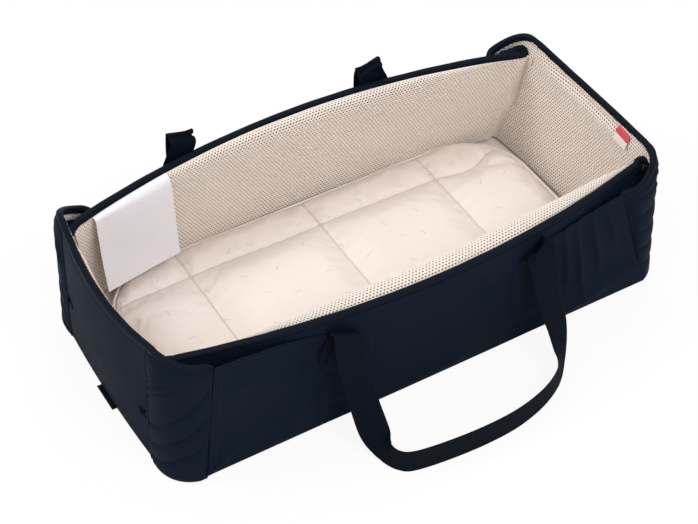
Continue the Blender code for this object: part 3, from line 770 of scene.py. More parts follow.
class Workshop:
    """Geometry Nodes for what repeats: stitches along a seam and the holes of the mesh lining."""

    def __init__(self) -> None:
        """Builds both trees."""
        self.stitch_tree = self._stitch_tree()
        self.hole_tree = self._hole_tree()
        self.seams: dict[str, list[Array]] = {}

    @staticmethod
    def _stitch_tree() -> Tree:
        """Lays a slim bead every few millimetres along each line."""
        takes = {
            "Geometry": (GEOMETRY, None),
            "Pitch": (FLOAT, 0.0034),
            "Length": (FLOAT, 0.0026),
            "Thread": (FLOAT, 0.0006),
            "Material": (MATERIAL, None),
        }
        board, given = new_group("stitches", "GeometryNodeTree", takes)
        curve = board.node("GeometryNodeMeshToCurve", {0: given["Geometry"]}).outputs[0]
        inputs = {"Curve": curve, "Length": given["Pitch"]}
        points = board.node("GeometryNodeResampleCurve", inputs, mode="LENGTH")
        bead = board.node("GeometryNodeMeshUVSphere", {"Segments": 6, "Rings": 4, "Radius": 0.5})
        tangent = board.node("GeometryNodeInputTangent").outputs[0]
        ahead = board.node("FunctionNodeAlignRotationToVector", {"Vector": tangent}, axis="X")
        size = board.node("ShaderNodeCombineXYZ", {0: given["Length"], 1: given["Thread"], 2: given["Thread"]})
        inputs = {"Points": points.outputs[0], "Instance": bead.outputs[0]}
        inputs |= {"Rotation": ahead.outputs[0], "Scale": size.outputs[0]}
        copies = board.node("GeometryNodeInstanceOnPoints", inputs)
        real = board.node("GeometryNodeRealizeInstances", {0: copies.outputs[0]})
        dressed = board.node("GeometryNodeSetMaterial", {0: real.outputs[0], "Material": given["Material"]})
        return board.give(GEOMETRY, {"Geometry": dressed.outputs[0]})

    @staticmethod
    def _hole_tree() -> Tree:
        """Lays out staggered rows of one holed cell and joins them."""
        takes = {
            "Columns": (WHOLE, 10),
            "Rows": (WHOLE, 10),
            "Pitch": (FLOAT, 0.0048),
            "Rise": (FLOAT, 0.004),
            "Cell": (OBJECT, None),
            "Material": (MATERIAL, None),
        }
        board, given = new_group("holed_cloth", "GeometryNodeTree", takes)
        pitch, rise = given["Pitch"], given["Rise"]
        wide = board.math("MULTIPLY", board.math("SUBTRACT", given["Columns"], 1.0), pitch)
        tall = board.math("MULTIPLY", board.math("SUBTRACT", given["Rows"], 1.0), rise)
        inputs = {"Size X": wide, "Size Y": tall, "Vertices X": given["Columns"], "Vertices Y": given["Rows"]}
        cells = board.node("GeometryNodeMeshGrid", inputs).outputs["Mesh"]
        up = board.parts(board.node("GeometryNodeInputPosition").outputs[0])[1]
        row = board.math("ROUND", board.math("DIVIDE", board.math("MULTIPLY_ADD", tall, 0.5, up), rise))
        odd = board.math("MODULO", row, 2.0)
        shift = board.math("MULTIPLY", board.math("MULTIPLY", odd, pitch), 0.5)
        offset = board.node("ShaderNodeCombineXYZ", {0: shift}).outputs[0]
        moved = board.node("GeometryNodeSetPosition", {0: cells, "Offset": offset}).outputs[0]
        cell = board.node("GeometryNodeObjectInfo", {"Object": given["Cell"]}).outputs["Geometry"]
        copies = board.node("GeometryNodeInstanceOnPoints", {"Points": moved, "Instance": cell})
        real = board.node("GeometryNodeRealizeInstances", {0: copies.outputs[0]}).outputs[0]
        joined = board.node("GeometryNodeMergeByDistance", {0: real, "Distance": 0.00002}).outputs[0]
        dressed = board.node("GeometryNodeSetMaterial", {0: joined, "Material": given["Material"]})
        return board.give(GEOMETRY, {"Geometry": dressed.outputs[0]})

    @staticmethod
    def _grown(item: Thing, tree: Tree, values: dict[str, object]) -> bpy.types.Mesh:
        """Runs a tree on an object and gives the plain mesh that it makes."""
        bpy.context.scene.collection.objects.link(item)
        modifier = item.modifiers.new(tree.name, "NODES")
        modifier.node_group = tree
        sockets = {s.name: s.identifier for s in tree.interface.items_tree if s.in_out == "INPUT"}
        for label, value in values.items():
            modifier[sockets[label]] = value
        mesh = evaluated(item)
        bpy.data.objects.remove(item)
        return mesh

    def sew(self, piece: str, line: Array) -> None:
        """Notes a row of stitches that belongs to a piece."""
        self.seams.setdefault(piece, []).append(np.asarray(line, float))

    def stitch(
        self,
        piece: str,
        on: "str | Fold",
        thread: Finish = NAVY_THREAD,
        pitch: float = 0.0034,
        size: float = 0.00065,
    ) -> None:
        """Makes all the rows of a piece as one object.

        Args:
            piece: Name of the piece.
            on: The body or the fold that it rides on.
            thread: Finish of the thread.
            pitch: Distance from stitch to stitch.
            size: Thickness of the thread.
        """
        lines = self.seams.pop(piece)
        starts = np.cumsum([0, *(len(line) for line in lines)])
        edges = [(i, i + 1) for start, stop in zip(starts, starts[1:]) for i in range(start, stop - 1)]
        mesh = bpy.data.meshes.new(f"{piece}_lines")
        mesh.from_pydata(np.concatenate(lines), edges, [])
        values = {"Pitch": pitch, "Length": pitch * 0.78, "Thread": size, "Material": thread.material()}
        made = self._grown(bpy.data.objects.new(mesh.name, mesh), self.stitch_tree, values)
        made.name = piece
        made.shade_smooth()
        fit_out(bpy.data.objects.new(piece, made), on, thread)

    def holed(self, size: Pair, knit: "HoledKnit") -> tuple[Array, Array]:
        """Flat holed cloth of a size.

        Args:
            size: Its width and height.
            knit: The holes' sizes.

        Returns:
            Its points, centred, and its faces.
        """
        cell = knit.cell()
        blank = bpy.data.objects.new("blank", bpy.data.meshes.new("blank"))
        values = {
            "Columns": math.ceil(size[0] / knit.pitch),
            "Rows": math.ceil(size[1] / knit.rise),
            "Pitch": knit.pitch,
            "Rise": knit.rise,
            "Cell": cell,
            "Material": CREAM_MESH.material(),
        }
        mesh = self._grown(blank, self.hole_tree, values)
        bpy.data.objects.remove(cell)
        points = np.empty(len(mesh.vertices) * 3, np.float32)
        mesh.vertices.foreach_get("co", points)
        faces = np.empty(len(mesh.loops), np.int32)
        mesh.loops.foreach_get("vertex_index", faces)
        return points.reshape(-1, 3).astype(float), faces.reshape(-1, 4)


@dataclass(frozen=True)
class HoledKnit:
    """Spacer mesh with staggered rows of small oval holes."""

    pitch: float = 0.0048
    rise: float = 0.0040
    hole_width: float = 0.0027
    hole_height: float = 0.0022
    hole_taper: float = 0.86
    dimple: float = 0.0005
    depth: float = 0.0014

    def cell(self) -> Thing:
        """One cell of the cloth with its hole."""
        border = ((1, 0), (1, 1), (0, 1), (-1, 1), (-1, 0), (-1, -1), (0, -1), (1, -1))
        points = [(x * self.pitch / 2, y * self.rise / 2, 0) for x, y in border]
        for size, drop in ((1.0, self.dimple), (self.hole_taper, self.depth)):
            for angle in np.arange(8) * math.pi / 4:
                x = math.cos(angle) * self.hole_width / 2 * size
                y = math.sin(angle) * self.hole_height / 2 * size
                points.append((x, y, -drop))
        faces = []
        for ring in (0, 8):
            for i in range(8):
                following = (i + 1) % 8
                faces.append((ring + i, ring + following, ring + 8 + following, ring + 8 + i))
        mesh = bpy.data.meshes.new("cell")
        mesh.from_pydata(points, [], faces)
        item = bpy.data.objects.new("cell", mesh)
        bpy.context.scene.collection.objects.link(item)
        return item


@dataclass(frozen=True)
class Fold:
    """Way over which a piece passes from one body to another, given by the two bodies and a start and a stop."""

    first: str
    second: str
    start: Triple
    stop: Triple


def fit_out(item: Thing, on: str | Fold, finish: Finish, stands_for: Sequence[str] = ()) -> Thing:
    """Gives a finished piece its look, its place and what it stands for.

    Args:
        item: The piece.
        on: The body that it rides on, or the fold between two bodies that it crosses.
        finish: Its finish.
        stands_for: Nodes of the frame that it is shown instead of.

    Returns:
        The piece.
    """
    if not item.data.materials:
        item.data.materials.append(finish.material())
    if item.name not in bpy.context.scene.collection.objects:
        bpy.context.scene.collection.objects.link(item)
    if isinstance(on, Fold):
        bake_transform(item)
    else:
        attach(item, on)
    if stands_for:
        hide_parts(*stands_for)
    LOG.info("%s: %d faces", item.name, len(item.data.polygons))
    return item


@dataclass(frozen=True)
class Filling:
    """Stuffing of a closed form of cloth, found by simulation."""

    pressure: float = 4.0
    limit: float = 0.007
    growth: float = 0.022
    quality: int = 6
    mass: float = 0.15
    tension: float = 20
    compression: float = 12
    shear: float = 8
    bending: float = 0.12
    damping: float = 4
    frames: int = 20

    def blow_up(self, item: Thing, sewn: Array) -> None:
        """Runs the simulation and keeps its result, apart from moves beyond the limit.

        Args:
            item: The form.
            sewn: How firmly each point is held, from 0 to 1.
        """
        scene = bpy.context.scene
        scene.collection.objects.link(item)
        group = item.vertex_groups.new(name="sewn")
        for index, weight in enumerate(sewn.tolist()):
            if weight > 0:
                group.add([index], weight, "REPLACE")
        cloth = item.modifiers.new("filling", "CLOTH")
        settings = cloth.settings
        settings.quality = self.quality
        settings.mass = self.mass
        settings.tension_stiffness = self.tension
        settings.compression_stiffness = self.compression
        settings.shear_stiffness = self.shear
        settings.bending_stiffness = self.bending
        settings.vertex_group_mass = "sewn"
        settings.pin_stiffness = 1
        settings.use_pressure = True
        settings.uniform_pressure_force = self.pressure
        settings.shrink_min = -self.growth
        settings.effector_weights.gravity = 0
        settings.air_damping = self.damping
        cloth.point_cache.frame_end = self.frames + 10
        start = np.empty(len(item.data.vertices) * 3, np.float32)
        item.data.vertices.foreach_get("co", start)
        for number in range(1, self.frames + 1):
            scene.frame_set(number)
        shaped = item.evaluated_get(bpy.context.evaluated_depsgraph_get()).to_mesh()
        end = np.empty_like(start)
        shaped.vertices.foreach_get("co", end)
        item.modifiers.remove(cloth)
        item.vertex_groups.remove(group)
        move = (end - start).reshape(-1, 3)
        far = np.linalg.norm(move, axis=1, keepdims=True)
        move = move * np.minimum(1, self.limit / np.maximum(far, 1e-9))
        item.data.vertices.foreach_set("co", (start.reshape(-1, 3) + move).astype(np.float32).ravel())
        scene.frame_set(1)
        scene.collection.objects.unlink(item)


def subdivided(item: Thing) -> None:
    """Splits every face in four and smooths the form, once."""
    scene = bpy.context.scene
    scene.collection.objects.link(item)
    modifier = item.modifiers.new("rounding", "SUBSURF")
    modifier.levels = modifier.render_levels = 1
    mesh = evaluated(item)
    item.modifiers.remove(modifier)
    item.data = mesh
    scene.collection.objects.unlink(item)


# Shape of the cot


@dataclass(frozen=True)
class Shell:
    """Faces of the cot that its cloth follows."""

    length: float = 0.730
    width: float = 0.357
    end_height: float = 0.202
    end_dip: float = 0.013
    corner_radius: float = 0.045
    rim_setback: float = 0.008
    rim_narrowing: float = 0.0085
    base_end_bow: float = 0.004
    rim_end_bow: float = 0.0095
    end_bulge: float = 0.006
    side_height: float = 0.181
    side_crown: float = 0.004
    side_tuck: float = 0.0445
    side_bow: float = 0.050
    side_end_inset: float = 0.0125
    side_end_gap: float = 0.023
    side_foot_gap: float = 0.053
    fold_height: float = 0.042
    seam_height: float = 0.144
    layers: float = 0.0081
    floor: float = 0.0081
    cloth: float = 0.0015
    binding: float = 0.009
    lining_depth: float = 0.0051
    lining_cove: float = 0.031
    lining_edge_gap: float = 0.010
    seam_inset: float = 0.007
    cover_gap: float = 0.0045
    climb_from: float = 0.070
    climb_over: float = 0.045

    @property
    def seam_half(self) -> float:
        """How far from the middle the wraps are sewn to the ends."""
        return self.width / 2 - self.rim_narrowing - self.corner_radius - self.seam_inset

    @property
    def rim_half(self) -> float:
        """Half length of a side wall's rim."""
        return self.length / 2 - self.side_end_gap

    def half_width(self, z: Array) -> Array:
        """Half width at the corners."""
        return self.width / 2 - self.rim_narrowing * z / self.end_height

    def corner_line(self, z: Array) -> Array:
        """Where the flat end turns into the corner's arc."""
        return self.half_width(z) - self.corner_radius

    def half_length(self, z: Array) -> Array:
        """Half length at the corners."""
        return self.length / 2 - self.rim_setback * z / self.end_height

    def end_x(self, y: Array, z: Array) -> Array:
        """Outer face of an end wall."""
        rise = z / self.end_height
        bow = mix(self.base_end_bow, self.rim_end_bow, rise) + self.end_bulge * 4 * rise * (1 - rise)
        return self.half_length(z) + bow * (1 - (y / self.corner_line(z)) ** 2)

    def end_rim(self, y: Array) -> Array:
        """Height of an end wall's rim, lowest at its middle."""
        along = np.minimum(np.abs(y) / self.corner_line(self.end_height), 1)
        return self.end_height - self.end_dip * (1 - along**2)

    def side_y(self, x: Array, z: Array) -> Array:
        """Outer face of a side wall: nearly upright at its middle, tucked in at its ends."""
        along = x / self.rim_half
        foot = self.width / 2 - self.side_end_inset * along**4
        rim = self.width / 2 - self.side_tuck + self.side_bow * (1 - along**2)
        return mix(foot, rim, z / self.side_height)

    def side_rim(self, x: Array) -> Array:
        """Height of a side wall's rim, highest at its middle."""
        return self.side_height + self.side_crown * (1 - (x / self.rim_half) ** 2)

    def side_end(self, z: Array) -> Array:
        """Half length of a side wall."""
        return self.length / 2 - mix(self.side_foot_gap, self.side_end_gap, z / self.side_height)

    def lining_x(self, y: Array, z: Array) -> Array:
        """Outer face of an end lining, which slopes in towards the mattress."""
        rise = (z - self.floor) / (self.end_height - self.floor)
        return self.end_x(y, z) - self.lining_depth - self.lining_cove * (1 - rise)

    def climb(self, z: Array) -> Array:
        """How far a lining has left the flat end for the corner's arc, from 0 low down to 1."""
        return ease((z - self.climb_from) / self.climb_over)

    def lining_half(self, z: Array) -> Array:
        """Half width of an end lining, which fits between the side walls."""
        return self.side_y(self.side_end(z), z) - self.layers - self.lining_edge_gap * z / self.end_height


@dataclass(frozen=True)
class WrapShape:
    """Course of one corner wrap: how far its free edge lies from the end, its dip and its flare."""

    shell: Shell
    top: float
    foot: float
    dip: float
    flare: float
    sag: float = 0.0
    peak_share: float = 0.2
    sag_share: float = 0.5

    def free_edge(self, z: Array) -> Array:
        """Distance from the middle of the cot to the free edge."""
        return self.shell.length / 2 - mix(self.foot, self.top, z / self.shell.end_height)

    def place(self, share: Array, z: Array, depth: Array | float) -> tuple[Array, Array]:
        """Walks round the corner, from the end wall to the free edge.

        Args:
            share: How far round, from 0 to 1.
            z: Height.
            depth: How far under the face.

        Returns:
            Distances from the middle of the cot, along X and Y.
        """
        shell = self.shell
        radius = shell.corner_radius
        flat = np.maximum(shell.corner_line(z) - shell.seam_half, 0)
        arc = radius * math.pi / 2
        arc_x = shell.half_length(z) - radius
        side = arc_x - self.free_edge(z)
        gone = share * (flat + arc + side)
        angle = np.clip((gone - flat) / radius, 0, math.pi / 2)
        passed = np.maximum(gone - flat - arc, 0)
        flare = self.flare * z / shell.end_height * ease(passed / np.maximum(side, 0.001))
        flat_y = shell.seam_half + gone
        on_flat = gone <= flat
        past = gone > flat + arc
        x = arc_x + (radius - depth) * np.cos(angle)
        y = shell.corner_line(z) + (radius - depth) * np.sin(angle)
        x = np.where(on_flat, shell.end_x(flat_y, z) - depth, np.where(past, arc_x - passed, x))
        y = np.where(on_flat, flat_y, np.where(past, shell.half_width(z) + flare - depth, y))
        return x, y

    def rim(self, share: Array) -> Array:
        """Height of the rim, which peaks at the corner and dips to the free edge."""
        shell = self.shell
        peak = mix(shell.end_rim(shell.seam_half), shell.end_height, ease(share / self.peak_share))
        sunk = self.sag * ease(share / self.sag_share)
        return peak - sunk - self.dip * ease((share - self.peak_share) / (1 - self.peak_share))


SHELL = Shell()
WRAPS = {
    (Side.FRONT, End.LEFT): WrapShape(SHELL, 0.067, 0.044, 0.016, 0.005),
    (Side.FRONT, End.RIGHT): WrapShape(SHELL, 0.086, 0.030, 0.030, -0.008),
    (Side.REAR, End.LEFT): WrapShape(SHELL, 0.070, 0.044, 0.030, -0.011, 0.008),
    (Side.REAR, End.RIGHT): WrapShape(SHELL, 0.070, 0.036, 0.028, -0.007, 0.003),
}


def rounded_columns(half_x: float, half_y: float, radius: float, step: float, marks: Sequence[float]) -> tuple:
    """Stations along a pad with round corners.

    Args:
        half_x: Half length of the pad.
        half_y: Half width of the pad.
        radius: Radius of its corners.
        step: Distance between stations.
        marks: Stations that have to be among them.

    Returns:
        The stations and the half width at each.
    """
    turn = np.linspace(0, math.pi / 2, int(radius * 1.57 / step))[1:]
    outer = half_x - radius + radius * np.sin(turn)
    stops = sorted({-(half_x - radius), half_x - radius, *marks})
    counts = (max(int(round((b - a) / step)), 1) for a, b in zip(stops, stops[1:]))
    inner = [np.linspace(a, b, n, endpoint=False) for a, b, n in zip(stops, stops[1:], counts)]
    stations = np.concatenate([-outer[::-1], *inner, [half_x - radius], outer])
    inset = np.maximum(np.abs(stations) - (half_x - radius), 0)
    return stations, half_y - radius + np.sqrt(np.maximum(radius**2 - inset**2, 0))


def rounded_ring(half_x: float, half_y: float, corner: float, out: float, count: int, z: float = 0.0) -> Array:
    """Closed line round a plate with round corners.

    Args:
        half_x: Half length of the plate.
        half_y: Half width of the plate.
        corner: Radius of its corners.
        out: How far out from the plate's edge the line lies.
        count: Steps at each corner.
        z: Height of the line.

    Returns:
        The line's points.
    """
    ring = []
    for x_sign, y_sign, quarter in ((1, 1, 0), (-1, 1, 1), (-1, -1, 2), (1, -1, 3)):
        for step in even(count):
            angle = (quarter + step) * math.pi / 2
            x = x_sign * (half_x - corner) + (corner + out) * math.cos(angle)
            y = y_sign * (half_y - corner) + (corner + out) * math.sin(angle)
            ring.append((x, y, z))
    return np.array([*ring, ring[0]])


# Base


@dataclass
class Base:
    """Flat bottom of the cot: cloth outside, board, and mesh floor, with a padded upstand at each side."""

    corner: float = 0.045
    edge_gap: float = 0.0021
    side_gap: float = 0.0003
    floor_inset: float = 0.001
    bottom_levels: Pair = (0.0, 0.0015)
    floor_levels: Pair = (0.0064, 0.0081)
    stitch_inset: float = 0.012
    upstand_height: float = 0.042
    upstand: float = 0.0056

    def build(self, workshop: Workshop) -> None:
        """Makes the bottom cloth, the floor and the upstands."""
        half_x = SHELL.length / 2 - self.edge_gap
        half_y = SHELL.width / 2 - SHELL.layers - self.side_gap
        self._plate("base_bottom", (half_x, half_y), self.bottom_levels, NAVY, "base_cover")
        floor = (half_x - self.floor_inset, half_y - self.floor_inset)
        self._plate("base_floor", floor, self.floor_levels, CREAM_MESH, "base_lining")
        ring = rounded_ring(half_x, half_y, self.corner, -self.stitch_inset, 10)
        workshop.sew("base_stitches", even_line(ring, 0.01))
        workshop.stitch("base_stitches", COT, pitch=0.004)
        for side in Side:
            self._upstand(side)

    def _plate(
        self, name: str, half: Pair, levels: Pair, finish: Finish, node: str
    ) -> None:
        """A flat layer of the base with round corners.

        Args:
            name: Name of the piece.
            half: Its half length and half width.
            levels: Heights of its lower and upper face.
            finish: Its finish.
            node: Node of the frame that it is shown instead of.
        """
        half_x, half_y = half
        xs, halves = rounded_columns(half_x, half_y, self.corner, 0.012, ())
        x, y = xs[:, None], halves[:, None] * np.linspace(-1, 1, 25)
        bottom, top = (stacked(x, y, level) for level in levels)
        item = Draft(name).sheet(bottom, top, stacked(x, y)).done()
        fit_out(item, COT, finish, (node,))

    def _upstand(self, side: Side) -> None:
        """Padded strip along the foot of a side, under the skirt."""
        left, right = (WRAPS[side, end].free_edge(self.upstand_height) - 0.0006 for end in End)
        x = np.linspace(-left, right, 60)[:, None]
        rise = even(11)
        z = mix(0.0008, self.upstand_height - 0.0008, rise)
        thick = self.upstand * (0.35 + 0.65 * blunt(2 * rise - 1, 3)) / 2
        middle = SHELL.width / 2 - SHELL.layers / 2 + 0.0006
        outer, inner = (stacked(x, side.sign * (middle + way * thick), z) for way in (1, -1))
        item = Draft(f"{side}_upstand").sheet(outer, inner, stacked(x, z)).done(80)
        fit_out(item, COT, NAVY, (f"{side}_lower_panel",))


# Mesh linings


@dataclass
class Lining:
    """Holed mesh over a backing darkened as painted shade, laid on one inner face of the cot."""

    name: str
    on: str | Fold
    place: Callable[[Array, Array], Array]
    trim: Callable[[Array, Array], tuple[Array, Array]]
    size: Pair
    middle: float
    facing: Triple
    node: str
    knit: HoledKnit = field(default_factory=HoledKnit)

    def build(self, workshop: Workshop) -> None:
        """Makes the holed face, trimmed to its outline, and its backing."""
        cut = (self.size[0] + 2 * self.knit.pitch, self.size[1] + 2 * self.knit.rise)
        flat, faces = workshop.holed(cut, self.knit)
        whole_along, whole_up = flat[:, 0], flat[:, 1] + self.middle
        along, up = self.trim(whole_along, whole_up)
        cut = np.hypot(along - whole_along, up - whole_up) > 0.00005
        faces = faces[~cut[faces].all(axis=1)]
        used, numbers = np.unique(faces, return_inverse=True)
        along, up, lift = along[used], up[used], flat[used, 2]
        points = laid(self.place, along, up, lift, np.array(self.facing))
        faces = numbers.reshape(-1, 4)
        first = points[faces[len(faces) // 2]]
        normal = np.cross(first[1] - first[0], first[2] - first[0])
        if float(np.dot(normal, self.facing)) < 0:
            faces = faces[:, ::-1]
        mesh = bpy.data.meshes.new(self.name)
        mesh.from_pydata(points, [], faces.tolist())
        maps = stacked(along, up)[faces.ravel()]
        mesh.uv_layers.new(name="cloth").data.foreach_set("uv", maps.astype(np.float32).ravel())
        # Mask for painted shade on the holes' walls: 0 at the dimple, 1 at the bottom.
        hollow = np.clip((-lift - self.knit.dimple) / (self.knit.depth - self.knit.dimple), 0, 1)
        mesh.attributes.new("hollow", "FLOAT", "POINT").data.foreach_set("value", hollow.astype(np.float32))
        mesh.shade_smooth()
        item = bpy.data.objects.new(self.name, mesh)
        fit_out(item, self.on, CREAM_MESH, (self.node,))
        self._backing()

    def _backing(self) -> None:
        """Plain sheet behind the holes, dark as painted shade seen through them."""
        half_wide, tall = self.size[0] / 2, self.size[1]
        across, rise = grid(np.linspace(-1, 1, int(self.size[0] / 0.006)), np.linspace(0, 1, int(tall / 0.006)))
        along = across * half_wide
        below, above = (self.trim(along, np.full_like(along, self.middle + way * tall))[1] for way in (-1, 1))
        up = mix(below, above, rise)
        first, last = (self.trim(np.full_like(along, way * half_wide), up)[0] for way in (-1, 1))
        along = mix(first, last, (across + 1) / 2)
        facing = np.array(self.facing)
        seen = laid(self.place, along, up, -self.knit.depth + 0.0001, facing)
        back = laid(self.place, along, up, -self.knit.depth - 0.0008, facing)
        item = Draft(f"{self.name}_backing").sheet(seen, back, stacked(along, up)).done()
        fit_out(item, self.on, PAINTED_SHADE_BACKING)


@dataclass(frozen=True)
class RimTape:
    """Folded tape sewn over a rim, a little uneven and slimmer at its ends."""

    width: float
    height: float
    wobble: float
    wave: float
    slimmest: float
    stitch_drop: float

    def build(self, rim: str, line: Array, out: Array, seed: int, on: str, stitches: str, workshop: Workshop) -> None:
        """Makes the tape and notes the stitches on both its faces.

        Args:
            rim: Name of the rim.
            line: Middle of the tape.
            out: The way out from the rim at each of the line's points.
            seed: Seed of the unevenness.
            on: The body that the tape rides on.
            stitches: The piece that its stitches belong to.
            workshop: Makes the stitches.
        """
        far = walked(line)
        line = line + out * (self.wobble * ripple(far, 0 * far, self.wave, seed))[:, None]
        swell = mix(self.slimmest, 1, ease(np.minimum(far, far[-1] - far) / 0.006))
        item = Draft(f"{rim}_binding_tape").tube(sweep(line, out, oval(self.width, self.height, 24), swell)).done()
        fit_out(item, on, NAVY_TAPE, (f"{rim}_binding",))
        for way in (-1, 1):
            workshop.sew(stitches, line + out * way * (self.width / 2 + 0.0001) - (0, 0, self.stitch_drop))


# Ends


@dataclass
class EndWall:
    """Stiff end of the cot: outer cloth with two slots, mesh lining, rim binding and foot tab."""

    end: End
    slot_offset: float = 0.107
    slot_lift: float = 0.078
    slot_width: float = 0.012
    slot_height: float = 0.015
    tab: float = 0.007
    base_tab: Triple = (0.046, 0.006, 0.0036)
    cover_height: float = 0.1915
    level_share: float = 0.6
    stitch_lift: float = 0.0003
    hem: float = 0.0016
    tape: RimTape = RimTape(0.0088, 0.0098, 0.0004, 0.03, 0.55, 0.0024)
    tape_depth: float = 0.0035
    cover_tuck: float = 0.004
    foot_tab_ribs: int = 13
    lining_levels: Pair = (0.013, 0.199)
    lining_width: float = 0.406
    lining_gap: float = 0.0022
    roll: float = 0.006
    roll_drop: float = 0.0085
    roll_end: float = 0.126
    round: float = 0.080
    wrap_depth: float = 0.0062

    @property
    def stitches(self) -> str:
        """Name of the end's stitches."""
        return f"{self.end}_end_stitches"

    def build(self, workshop: Workshop) -> None:
        """Makes the end's pieces."""
        self._cover(workshop)
        self._lining(workshop)
        line, out = self._rim_line()
        rim = f"{self.end}_end"
        self.tape.build(rim, line, out, 31 + self.end.sign, COT, self.stitches, workshop)
        self._tongues()
        self._foot_tab()
        workshop.stitch(self.stitches, COT)

    def _face(self, y: Array, z: Array, lift: float | Array) -> Array:
        """Points on the outer cloth, with its soft hollows, or lifted off it."""
        soft = 0.0011 * ripple(y, z, 0.11, 5 + self.end.sign) * ease(z / 0.03)
        return stacked(self.end.sign * (SHELL.end_x(y, z) + soft + lift), y, z)

    def _cover(self, workshop: Workshop) -> None:
        """Outer cloth with its two slots and the piped seams beside the wraps."""
        half = SHELL.seam_half
        edges_y = [s * self.slot_offset + t * self.slot_width / 2 for s in (-1, 1) for t in (-1, 1)]
        edges_z = [self.slot_lift + t * self.slot_height / 2 for t in (-1, 1)]
        ys = np.unique(np.round(np.concatenate([np.linspace(-half, half, 79), edges_y]), 5))
        shares = np.concatenate([even(60), np.array(edges_z) / self.cover_height])
        y, share = grid(ys, np.unique(np.round(shares, 5)))
        level = self.level_share
        sloped = mix(level * self.cover_height, SHELL.end_rim(y) - SHELL.cover_gap, (share - level) / (1 - level))
        z = np.where(share < level, share * self.cover_height, sloped)
        tuck = -self.cover_tuck * (1 - rounded(z, 0.005))
        outer, inner = self._face(y, z, tuck), self._face(y, z, tuck - SHELL.cloth)
        mid_y, mid_z = (y[1:, 1:] + y[:-1, :-1]) / 2, (z[1:, 1:] + z[:-1, :-1]) / 2
        in_slot = np.abs(np.abs(mid_y) - self.slot_offset) < self.slot_width / 2
        in_slot &= np.abs(mid_z - self.slot_lift) < self.slot_height / 2
        item = Draft(f"{self.end}_end_cloth").sheet(outer, inner, stacked(y, z), ~in_slot).done()
        fit_out(item, COT, NAVY, (f"{self.end}_end_cover",))
        line_y = np.linspace(-half, half, 60)
        workshop.sew(self.stitches, self._face(line_y, SHELL.end_rim(line_y) - 0.0145, self.stitch_lift))
        draft = Draft(f"{self.end}_corner_piping")
        for sign in (-1, 1):
            rise, seam = np.linspace(0.004, 0.186, 40), sign * (half - 0.0035) * np.ones(40)
            workshop.sew(self.stitches, self._face(seam, rise, self.stitch_lift))
            self._slot_hem(sign, workshop)
            rise = np.linspace(0.003, float(SHELL.end_rim(half)) - 0.007, 50)
            draft.tube(cord(self._face(sign * half * np.ones(50), rise, 0.0004), 0.0026))
        fit_out(draft.done(), COT, NAVY_TAPE)

    def _slot_hem(self, sign: int, workshop: Workshop) -> None:
        """Row of stitches round a slot."""
        half = (self.slot_width / 2 + self.hem, self.slot_height / 2 + self.hem)
        corners = np.array([(-1, -1), (1, -1), (1, 1), (-1, 1), (-1, -1)], float)
        y, z = even_line(corners * half, 0.0015).T
        workshop.sew(self.stitches, self._face(sign * self.slot_offset + y, self.slot_lift + z, self.stitch_lift))

    def _lining(self, workshop: Workshop) -> None:
        """Mesh that slopes down to the mattress and runs on round both corners, inside the wraps."""
        sign = self.end.sign
        low, high = self.lining_levels
        parts = [(WRAPS[side, self.end], side) for side in Side]

        def share(wrap: WrapShape, s: Array, z: Array) -> Array:
            """How far round a wrap a place along the cloth lies."""
            corner = SHELL.corner_line(z)
            flat = corner - SHELL.seam_half
            turn = SHELL.half_length(z) - wrap.free_edge(z) + SHELL.corner_radius * (math.pi / 2 - 1)
            return np.clip((flat + (np.abs(s) - corner) / self.round * turn) / (flat + turn), 0, 1)

        def rim(s: Array, z: Array) -> Array:
            """Height of the rim above a place along the cloth."""
            wraps = [wrap.rim(share(wrap, s, z)) for wrap, _ in parts]
            return np.where(np.abs(s) < SHELL.corner_line(z), SHELL.end_rim(s), np.where(s < 0, *wraps))

        def place(s: Array, z: Array) -> Array:
            """Slope of the lining, with a roll under the rim."""
            over = np.maximum(np.abs(s) - SHELL.corner_line(z), 0)
            below = np.maximum(rim(s, z) - self.roll_drop - z, 0)
            soft = 0.0012 * ripple(s, z, 0.09, 21 + sign) * ease((z - 0.03) / 0.02) * ease(below / 0.03)
            roll = self.roll * ease(below / 0.016) * np.exp(-below / 0.09)
            roll = roll * ease((self.roll_end - np.abs(s)) / 0.06)
            depth = SHELL.end_x(s, z) - SHELL.lining_x(s, z) + self.lining_gap + roll - soft
            climb = SHELL.climb(z)
            depth = mix(depth, self.wrap_depth, ease(over / 0.03) * climb)
            x, y = SHELL.end_x(s, z) - depth, s
            for wrap, side in parts:
                round_x, round_y = wrap.place(share(wrap, s, z), z, depth)
                on_wrap = (over > 0) & (s * side.sign > 0)
                x = np.where(on_wrap, mix(x, round_x, climb), x)
                y = np.where(on_wrap, mix(y, side.sign * round_y, climb), y)
            return stacked(sign * x, y, z)

        def trim(s: Array, z: Array) -> tuple[Array, Array]:
            """Cuts the cloth at the side walls, the floor and the rim."""
            z = np.clip(z, low, rim(s, z) - 0.0042)
            free = SHELL.corner_line(z) + self.round
            half = mix(SHELL.lining_half(z) + 0.005, free - 0.002, ease((z - 0.095) / 0.03))
            return np.clip(s, -half, half), z

        Lining(
            f"{self.end}_end_mesh",
            COT,
            place,
            trim,
            (self.lining_width, high - low),
            (low + high) / 2,
            (-sign, 0, 0.2),
            f"{self.end}_end_lining",
        ).build(workshop)

